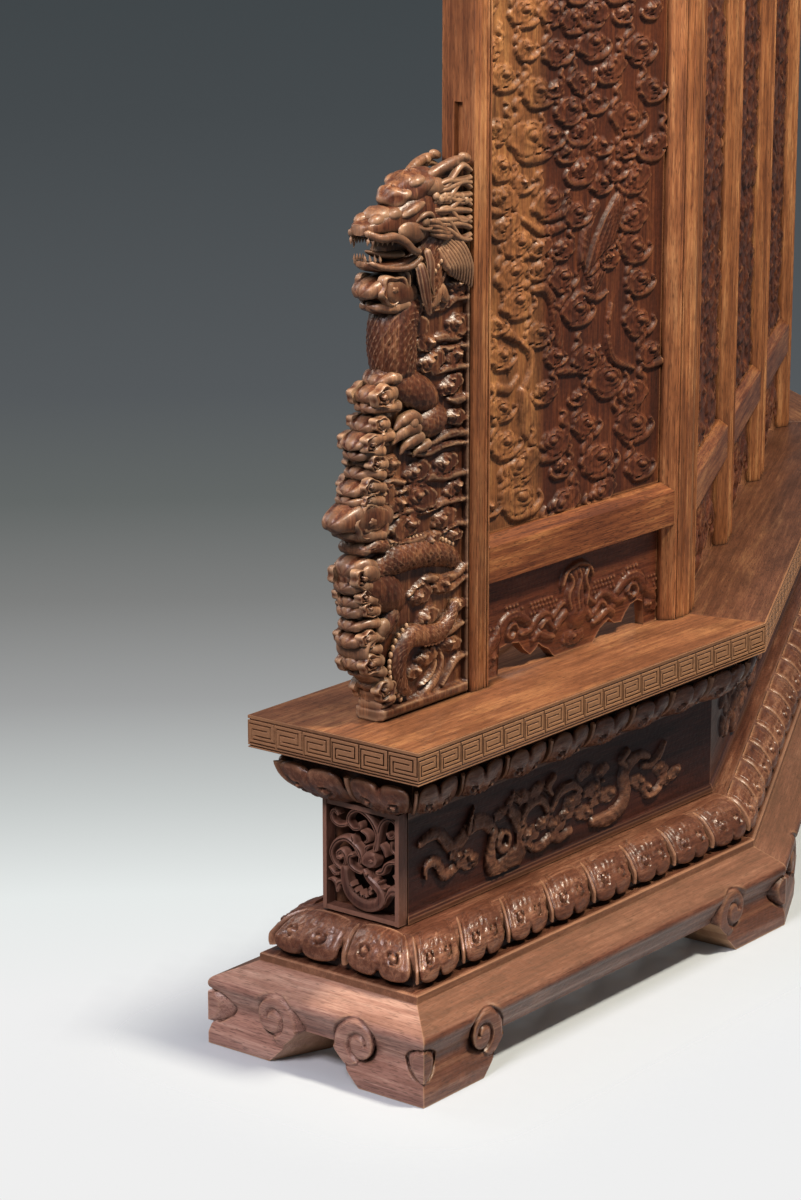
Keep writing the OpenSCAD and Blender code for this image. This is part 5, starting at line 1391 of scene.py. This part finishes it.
BOARD_STROKES = [
    ([(0, 602), (30, 606), (60, 596), (100, 600)], (8, 14, 12, 5)),
    ([(0, 552), (30, 548), (62, 552), (96, 548)], (10, 13, 13, 6)),
    ([(0, 531), (34, 530), (66, 536)], (9, 12, 5)), ([(0, 500), (40, 504), (86, 500)], (8, 12, 5)),
    ([(0, 455), (24, 452), (48, 458)], (10, 13, 6)), ([(0, 400), (40, 404), (90, 396), (150, 400)], (10, 14, 12, 5)),
    ([(0, 385), (50, 390), (100, 384), (140, 392)], (6, 10, 10, 5)),
    ([(0, 340), (50, 342), (100, 348), (160, 336)], (9, 13, 13, 5)),
    ([(0, 300), (50, 304), (100, 300), (150, 306), (200, 300)], (8, 12, 12, 10, 5)),
    ([(150, 350), (180, 356), (215, 350)], (7, 11, 5)),
    ([(60, 262), (110, 258), (150, 262), (186, 268)], (7, 12, 10, 5)), ([(0, 262), (30, 266), (60, 258)], (8, 12, 5)),
    ([(6, 196), (24, 186), (60, 184), (90, 194), (120, 186), (142, 178)], (12, 16, 14, 12, 6)),
    ([(6, 180), (40, 170), (80, 176), (110, 190)], (8, 12, 10, 5)),
    ([(10, 110), (36, 104), (60, 96), (84, 92)], (8, 13, 10, 5)),
    ([(70, 84), (62, 62), (74, 38), (98, 22), (130, 18)], (5, 12, 13, 12, 5)),
    ([(84, 86), (78, 62), (90, 44), (112, 34)], (4, 8, 8, 4)),
    ([(0, 60), (24, 56), (44, 40), (60, 24)], (8, 12, 10, 6)), ([(206, 96), (222, 84), (236, 78)], (6, 10, 5)),
    ([(190, 62), (214, 66), (232, 74)], (6, 10, 6)), ([(180, 26), (206, 24), (213, 30)], (8, 10, 8)),
    ([(190, 414), (216, 420), (240, 410)], (7, 12, 6)), ([(196, 452), (214, 462), (226, 470)], (7, 12, 6)),
    ([(190, 504), (206, 500), (220, 492)], (6, 12, 6)), ([(200, 368), (226, 372), (250, 366)], (7, 11, 5)),
    ([(180, 320), (200, 326), (230, 334), (262, 330)], (6, 10, 12, 5)),
    ([(180, 284), (216, 282), (250, 290)], (6, 12, 5))]
board_relief = Relief(np.arange(-4, 300, 2.0), np.arange(-4, 812, 2.0))
board_draw = np.random.default_rng(7)
for points, widths in BOARD_STROKES:
    board_relief.ribbon(points, [w * 1.15 for w in widths], 9.0, 1)
for a, z, size, facing in BOARD_CLOUDS:
    board_relief.cloud(a, z, size, 13.0, facing, board_draw.uniform(-0.25, 0.25), board_draw.uniform(0, 6))


def board_face(a, z, distance, sign):
    """Height of the board's faces from its middle: ground, clouds and a plain strip at the foot."""
    carved = 15.0 + sampled(board_relief, a, z)
    plain = clamp((20 - z) / 3) + clamp((5 - a) / 1.5)
    height = np.where(plain > 0, carved + (28.0 - carved) * clamp(plain), carved)
    return height * (0.55 + 0.45 * quarter_round(distance, 9.0))


# Rolls of cloud through the whole thickness that make the ragged outer edge: line in (a, z), half heights.
EDGE_ROLLS = [
    ([(120, 622), (170, 630), (206, 640), (231, 632)], (14, 28, 22, 8)),
    ([(140, 612), (180, 610), (214, 615)], (10, 12, 6)),
    ([(160, 506), (186, 508), (205, 499)], (10, 13, 7)), ([(166, 486), (200, 487), (227, 482)], (14, 17, 8)),
    ([(160, 466), (196, 468), (226, 468)], (12, 11, 6)), ([(186, 442), (214, 446), (236, 438)], (12, 13, 7)),
    ([(176, 426), (216, 426), (246, 422), (256, 412)], (10, 12, 12, 6)),
    ([(196, 404), (226, 408), (252, 400)], (12, 13, 6)),
    ([(190, 384), (214, 388), (238, 390)], (12, 12, 6)), ([(196, 368), (226, 376), (250, 373)], (10, 13, 7)),
    ([(196, 350), (232, 358), (268, 350)], (10, 13, 7)), ([(200, 332), (236, 338), (270, 338)], (10, 12, 6)),
    ([(176, 304), (220, 312), (262, 314), (303, 309)], (14, 30, 26, 8)),
    ([(196, 282), (236, 286), (280, 294)], (10, 13, 7)),
    ([(196, 262), (226, 268), (255, 271)], (10, 12, 7)), ([(214, 232), (246, 240), (272, 232)], (14, 20, 12)),
    ([(226, 212), (252, 214), (275, 210)], (12, 14, 9)), ([(214, 190), (244, 192), (266, 186)], (12, 13, 8)),
    ([(210, 170), (244, 176), (268, 172)], (10, 13, 7)), ([(210, 152), (242, 156), (265, 150)], (10, 12, 7)),
    ([(212, 132), (246, 134), (271, 128)], (10, 13, 8)), ([(206, 112), (236, 116), (256, 111)], (10, 11, 7)),
    ([(200, 92), (234, 98), (258, 92)], (12, 13, 8)), ([(196, 74), (224, 80), (243, 76)], (10, 11, 6)),
    ([(180, 48), (204, 56), (224, 54)], (12, 15, 8)), ([(176, 32), (200, 34), (214, 30)], (8, 9, 6))]
EDGE_EYES = [(184, 636, 34), (206, 484, 26), (232, 420, 22), (222, 390, 20), (236, 358, 20), (236, 306, 42),
             (252, 226, 26), (238, 178, 20), (244, 134, 20), (236, 94, 24), (204, 48, 24), (214, 446, 18),
             (240, 338, 16), (250, 198, 16)]


def along(points, depth=0.0):
    """Line in (a, z) set at one depth."""
    return [(a, depth, z) for a, z in points]


def beads(points, radius, pitch, depth):
    """Row of small pointed spines along a line in (a, z)."""
    return [ball((a, depth, z), (radius, radius, radius * 1.4), rings=6, around=8)
            for a, z in smooth_line(points, pitch)]


def sections(places):
    """Closed form through upright sections given as (a, low z, high z, half depth)."""
    square, around = 0.72, 36
    places = np.array(places, dtype=float)
    a = np.arange(places[0, 0], places[-1, 0] + 0.1, 2.5)
    low, high, half = (np.interp(a, places[:, 0], places[:, k]) for k in (1, 2, 3))
    for values in (low, high, half):
        for _ in range(3):
            values[1:-1] = (values[:-2] + 2 * values[1:-1] + values[2:]) / 4
    turned = np.linspace(0, 2 * math.pi, around, endpoint=False)[None, :]
    up, out = np.sin(turned), np.cos(turned)
    up, out = np.sign(up) * np.abs(up) ** square, np.sign(out) * np.abs(out) ** square
    rise = (low + high)[:, None] / 2 + (high - low)[:, None] / 2 * up
    return loft(np.stack([a[:, None] + 0 * up, half[:, None] * out, rise], axis=-1))


def mirrored(points, y):
    """Line in (a, depth, z) laid on one face of the board."""
    return [(a, depth * y, z) for a, depth, z in points]


def dragon_head():
    """Head looking outwards with open jaws: skull, brows, eyes, lips, teeth, tongue, beard, horns and mane."""
    lumps = lambda up, turned: 2.4 * np.sin(up * 4.6 + 0.7) * np.sin(turned * 3 + 0.8)
    shells = [
        sections([(14, 700, 780, 18), (40, 694, 790, 26), (70, 692, 790, 30), (100, 694, 784, 32),
                  (130, 698, 772, 32), (150, 704, 764, 30), (168, 709, 756, 27), (190, 713, 747, 25),
                  (210, 715, 741, 23), (226, 716, 737, 19), (236, 719, 733, 9)]),
        sections([(96, 664, 704, 20), (120, 658, 696, 26), (142, 656, 684, 27), (165, 657, 677, 25),
                  (188, 660, 676, 22), (208, 664, 679, 19), (222, 669, 682, 14), (230, 674, 681, 6)]),
        tube(along([(140, 682), (170, 684), (196, 688), (216, 695)]), (8, 8, 6, 2), (18, 16, 12, 4)),
        tube(along([(152, 668), (146, 650), (148, 630), (156, 604), (162, 596)]), (15, 14, 13, 9, 3),
             (27, 27, 26, 22, 8), 40, haired),
        ball((112, 0, 776), (50, 33, 25), -0.16, 40, 60, lumps),
        ball((152, 0, 766), (24, 27, 17), -0.30, 30, 44, lumps),
        ball((190, 0, 743), (22, 22, 13), -0.15), ball((154, 0, 694), (52, 9, 18))]
    for y in (-1, 1):
        # Cheeks, brow and eye; lids, lips, locks of beard and horn; and the burrs on the horn.
        for centre, radii, tilt in (
                ((92, 22, 775), (30, 14, 15), 0.05), ((126, 20, 786), (17, 12, 9), -0.2),
                ((140, 26, 748), (28, 9, 8), -0.30), ((176, 20, 744), (14, 9, 9), -0.10),
                ((208, 13, 738), (15, 10, 9), -0.2), ((116, 29, 728), (10, 7, 8), 0.0),
                ((142, 26, 716), (32, 9, 16), 0.20), ((84, 28, 716), (24, 7, 12), 0.2)):
            shells.append(ball(*mirrored([centre], y), radii, tilt))
        for points, *rest in (
                ([(96, 30, 728), (108, 34, 738), (124, 33, 738), (140, 29, 728)], (3, 4, 4, 2)),
                ([(98, 30, 722), (112, 34, 717), (128, 33, 719), (142, 29, 726)], (2, 3, 3, 2)),
                ([(128, 30, 686), (146, 32, 690), (164, 30, 704), (186, 27, 713), (212, 24, 714), (234, 12, 724)],
                 (4, 6, 7, 7, 6, 5)),
                ([(122, 29, 678), (150, 30, 667), (180, 26, 667), (206, 21, 672), (224, 13, 680)], (4, 5, 4, 4, 3)),
                ([(132, 30, 672), (130, 37, 648), (124, 38, 620), (114, 37, 592)],
                 (9, 11, 9, 3), (6, 6, 5, 3), 20, haired),
                ([(116, 31, 690), (112, 36, 668), (112, 37, 642), (104, 37, 620)],
                 (5, 8, 7, 2), (5, 5, 4, 2), 18, haired),
                ([(98, 20, 790), (66, 25, 802), (36, 27, 809), (14, 27, 808)], (6, 8, 7, 3))):
            shells.append(tube(mirrored(points, y), *rest))
        shells += [ball((20, 27 * y, 811), (13, 7, 7), 0.3), ball((44, 26 * y, 806), (10, 8, 8), 0.3)]
        # Upper and lower teeth, one of them a fang.
        for k in range(6):
            a, fang = 184 + 9 * k, 6 * (k == 4)
            tooth = [(a, 25 - 1.8 * k, 713 + 0.5 * k), (a + 1.5, 24 - 1.8 * k, 701 + 0.6 * k - fang)]
            shells.append(tube(mirrored(tooth, y), (3.6, 0.8)))
            if k > 1:
                tooth = [(a, 20 - 2 * k, 675 + k), (a + 1.0, 19 - 2 * k, 687 + k)]
                shells.append(tube(mirrored(tooth, y), (3.0, 0.8)))
        # Mane swept back behind the brow, and its lower locks down the neck.
        for k in range(13):
            z0, z1 = 712 + 5.6 * k, 690 + 8.3 * k
            bend = 8 * math.sin(k * 1.9)
            lock = [(104 - 2.2 * abs(k - 6), 27, z0), (70, 31 + k % 2, z0 + bend), (34, 31 - k % 2, z1 + 4 - bend),
                    (4, 28, z1)]
            shells.append(tube(mirrored(lock, y), (3, 6, 6, 4), (3, 5, 5, 4), 14, haired))
        for k in range(9):
            a1 = 4 + 6.5 * k
            lock = [(56 + 4 * k, 26, 704 - 2 * k), (30 + 5 * k, 31, 684 - 3 * k), (a1 + 6, 31, 652),
                    (a1, 28, 618 + 3 * k)]
            shells.append(tube(mirrored(lock, y), (4, 6, 6, 2), (4, 5, 5, 2), 14, haired))
        # Small curls over the mane's root, and fins on the cheek.
        for k in range(8):
            curl = (24 + 10 * k, 32 * y, 749 + 5 * (k % 2) + 1.2 * k)
            shells.append(ball(curl, (6.5, 5, 6.5), rings=8, around=12))
        for k in range(4):
            fin = [(122 - 6 * k, 28, 730 - 7 * k), (98 - 4 * k, 34, 726 - 7 * k), (78 - 4 * k, 33, 716 - 5 * k),
                   (64 - 6 * k, 30, 722 - 6 * k)]
            shells.append(tube(mirrored(fin, y), (3, 5, 5, 2)))
    return shells


def dragon_body():
    """Neck, coils, legs, claws and tail, all scaled, with spines along the back."""
    fine = lambda up, turned: 1.1 * np.sin(up * 19) * np.sin(turned * 17)
    shells = [
        tube(along([(56, 730), (82, 700), (88, 655), (90, 618), (110, 592)]), (28, 32, 34, 34, 28),
             (26, 29, 30, 30, 26), 96, scales(12.0, 2.6), step=2.4),
        tube(along([(100, 604), (130, 604), (152, 588), (157, 556), (150, 522), (126, 498)]),
             (26, 34, 38, 38, 36, 26), (26, 30, 32, 32, 31, 26), 100, scales(12.0, 2.8), step=2.4),
        ball((128, 0, 482), (76, 34, 33), 0.42, 44, 90, fine), ball((86, 0, 430), (46, 33, 29), -0.12, 34, 64, fine),
        ball((140, 0, 426), (40, 30, 19), 0.05, 16, 30),
        tube(along([(14, 200), (40, 218), (80, 231), (130, 238), (190, 236), (236, 228), (258, 226)]),
             (16, 21, 24, 26, 26, 22, 14), (20, 27, 30, 31, 31, 30, 22), 96, scales(10.5, 2.4), step=2.4),
        ball((204, 0, 198), (74, 34.5, 37), 0.52, 44, 90, fine),
        tube(along([(168, 172), (186, 152), (203, 134), (208, 116)]),
             (25, 22, 16, 12), (30, 30, 28, 24), 70, scales(9.0, 1.6)),
        tube(along([(200, 124), (222, 133), (243, 128), (249, 112), (238, 101), (222, 104)]),
             (11, 12, 11, 9, 7, 3), (28, 30, 30, 30, 28, 20), 24),
        tube(along([(190, 262), (226, 270), (254, 262)]), (12, 15, 8), (30, 31, 26), 80, scales(10.0, 2.2))]
    for y in (-1, 1):
        tail = [(30, 152), (42, 128), (72, 110), (108, 112), (143, 116), (167, 98), (172, 70), (160, 42), (140, 29)]
        shells.append(tube(along(tail, 19 * y), (5, 10, 14, 15, 17, 17, 16, 13, 4),
                           (8, 11, 14, 15, 15, 15, 14, 12, 6), 54, scales(9.0, 2.0), step=2.4))
        shells += beads([(26, 146), (34, 120), (64, 97), (104, 97)], 3.6, 8, 22 * y)
        shells += beads([(150, 134), (176, 116), (190, 88), (186, 56), (164, 26)], 3.6, 8, 22 * y)
        shells += beads([(34, 236), (76, 254), (130, 263), (190, 262)], 3.4, 8, 18 * y)
        shells += beads([(108, 640), (66, 680)], 3.0, 9, 31 * y)
        # Four claws, then the wrist, a whisker on the neck and a tuft below the jaw.
        for points, radii in (([(118, 436), (140, 446), (164, 444), (182, 432)], (8, 11, 9, 2)),
                              ([(120, 426), (146, 430), (170, 424), (188, 412)], (8, 11, 9, 2)),
                              ([(112, 414), (136, 412), (158, 406), (168, 394)], (8, 10, 8, 2)),
                              ([(96, 404), (112, 398), (130, 394), (138, 386)], (7, 8, 6, 2)),
                              ([(196, 152), (210, 144), (216, 130)], (11, 13, 7)),
                              ([(54, 660), (70, 640), (96, 614), (120, 606)], (3, 5, 5, 3)),
                              ([(56, 604), (78, 622), (92, 606), (110, 600)], (6, 14, 9, 2))):
            shells.append(tube(along(points, 24 * y), radii, [min(r, 9) for r in radii]))
        shells += [ball((142, 27 * y, 438), (11, 8, 10)), ball((164, 26 * y, 427), (10, 8, 9)),
                   ball((238, 27 * y, 232), (20, 7, 12), 0.4)]
    return shells


dragon_wood = rosewood("waxed_rosewood_dragon", UPRIGHT, "#371a0f", "#633824", "#a5744f", polish=0.34, worn="#e6bd95",
                       figure=0.8, recess="#090301", dirt_and_shade_reach=0.040)
for name, side, cell, fineness in (("left", -1, 2.75, 0.84), ("right", 1, 4.0, 0.64)):
    cut = cut_board((-2 * cell, -2 * cell), (286, 804), cell, lambda a, z: edge_distance(a, z, BOARD), board_face)
    slab = [cut, bar((-9.7, -6.7, 0.4), (2, 6.7, 804)), bar((80.3, -11.7, -29.6), (139.7, 11.7, 2))]
    rolls = [tube(along(points), radii, [30.0] * (len(radii) - 1) + [17.0], 32, layered, square=0.8)
             for points, radii in EDGE_ROLLS]
    for a, z, size in EDGE_EYES:
        rolls += [cloud_scroll(a, z, size, sign) for sign in (-1, 1)]
    for part, shells in (("clouds", slab + rolls), ("dragon", dragon_head() + dragon_body())):
        placed = [(wing_points(side, np.asarray(points) + (LEAVES["left_wing"], 0, LEDGE_TOP)), faces)
                  for points, faces in shells]
        carving = wooden(f"spandrel_{name}_{part}", placed, dragon_wood, crease=60)
        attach(carving, f"spandrel_{name}")
        if part == "clouds":
            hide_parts(f"spandrel_{name}")


# Crests: boards 44 mm thick with a stepped cloud outline that stand on the top rails by two tenons.
# They are carved on both faces like the brow panels, with a flaming pearl in the middle.
CREST_FACE, CREST_TENON, LEAF_TOP = 22.0, 17.7, 1700.0
CREST_RISE = {"left_wing": 150.0, "inner_left": 180.0, "centre": 225.0, "inner_right": 180.0, "right_wing": 150.0}


def crest_edge(half, rise):
    """Outline of a crest, half as wide as half says: steps and round cloud heads."""
    def distance(x, z):
        """Distance inside the outline, at points measured from the crest's middle."""
        x = np.abs(x)
        discs = [(0, 0.66 * rise, 0.34 * rise), (0.33 * half, 0.46 * rise, 0.30 * rise),
                 (0.58 * half, 0.34 * rise, 0.26 * rise),
                 (0.80 * half, 0.27 * rise, 0.22 * rise), (0.92 * half, 0.22 * rise, 0.08 * half)]
        inside = np.minimum(half - x, 0.3 * rise - z)
        inside = np.maximum(inside, np.minimum(0.3 * rise - x, 0.6 * rise - z))
        for middle, up, radius in discs:
            inside = np.maximum(inside, radius - np.hypot(x - middle, z - up))
        return np.minimum(np.minimum(inside, z), half - x)
    return distance


def crest_relief(half, rise):
    """Pearl, flames and clouds of a crest."""
    relief = Relief(np.arange(-half - 6, half + 6, 2.6), np.arange(-6, rise + 6, 2.6))
    relief.ribbon([(-half, 12), (0, 12), (half, 12)], (10, 10, 10), 5.0, 1)
    for way in (-1, 1):
        wave = ((0.98, 0.16), (0.80, 0.30), (0.60, 0.24), (0.42, 0.40), (0.24, 0.34), (0.16, 0.5))
        relief.ribbon([(way * s * half, z * rise) for s, z in wave], (8, 18, 20, 18, 8), 6.0, 2)
        for share, up, size in ((0.33, 0.56, 0.22), (0.58, 0.42, 0.20), (0.80, 0.34, 0.16), (0.92, 0.26, 0.11),
                                (0.46, 0.22, 0.12), (0.70, 0.18, 0.11)):
            relief.cloud(way * share * half, up * rise, size * rise * 1.25, 6.4, -way, way * 0.2, share * 9,
                         flat=0.72)
        for lean in (0.10, 0.22, 0.34):
            flame = [(way * 0.06 * rise, 0.52 * rise), (way * (0.06 + lean * 0.6) * rise, 0.70 * rise),
                     (way * lean * rise * 0.75, 0.92 * rise - lean * rise * 0.4)]
            relief.ribbon(flame, (14, 12, 3), 5.4, 1)
    relief.cloud(0, 0.60 * rise, 0.20 * rise, 6.6, 1, 0.0, 0.0, flat=1.0)
    return relief


for leaf, width in LEAVES.items():
    half, rise = width / 2 - 12.3, CREST_RISE[leaf] - 0.3
    relief = crest_relief(half, rise)

    def crest_face(x, z, distance, sign):
        """Half the thickness: the relief on its ground, thinner towards the outline."""
        return (CREST_FACE - 6.8 + sampled(relief, x, z)) * (0.72 + 0.28 * quarter_round(distance, 7.0))

    cut = cut_board((-half - 4, -4), (half + 4, rise + 4), 3.2, crest_edge(half, rise), crest_face)
    tenons = [bar((middle - CREST_TENON, -8.7, -27.7), (middle + CREST_TENON, 8.7, 1))
              for middle in (-width / 4, width / 4)]
    shells = [(np.asarray(points) + (width / 2, 0, LEAF_TOP + 0.15), faces) for points, faces in [cut] + tenons]
    crest = wooden(f"crest_{leaf}_clouds", on_leaf(leaf, shells), carved_wood[LEAF_WAY[leaf]], crease=60)
    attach(crest, f"crest_{leaf}")
    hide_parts(f"crest_{leaf}")


# Hidden joinery: posts at the corners of the waist and butterfly keys across the mitres, of plain
# planed rosewood that is left without wax.
inner_timber = rosewood("plain_rosewood_joinery", UPRIGHT, "#6a3f28", "#8a5638", "#a6734c", polish=0.55, carved=False)
for node in ("waist_posts", "mitre_keys"):
    joinery = planed_copy(node, f"{node}_planed", inner_timber, arris=0.8)
    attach(joinery, "base")
    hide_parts(node)
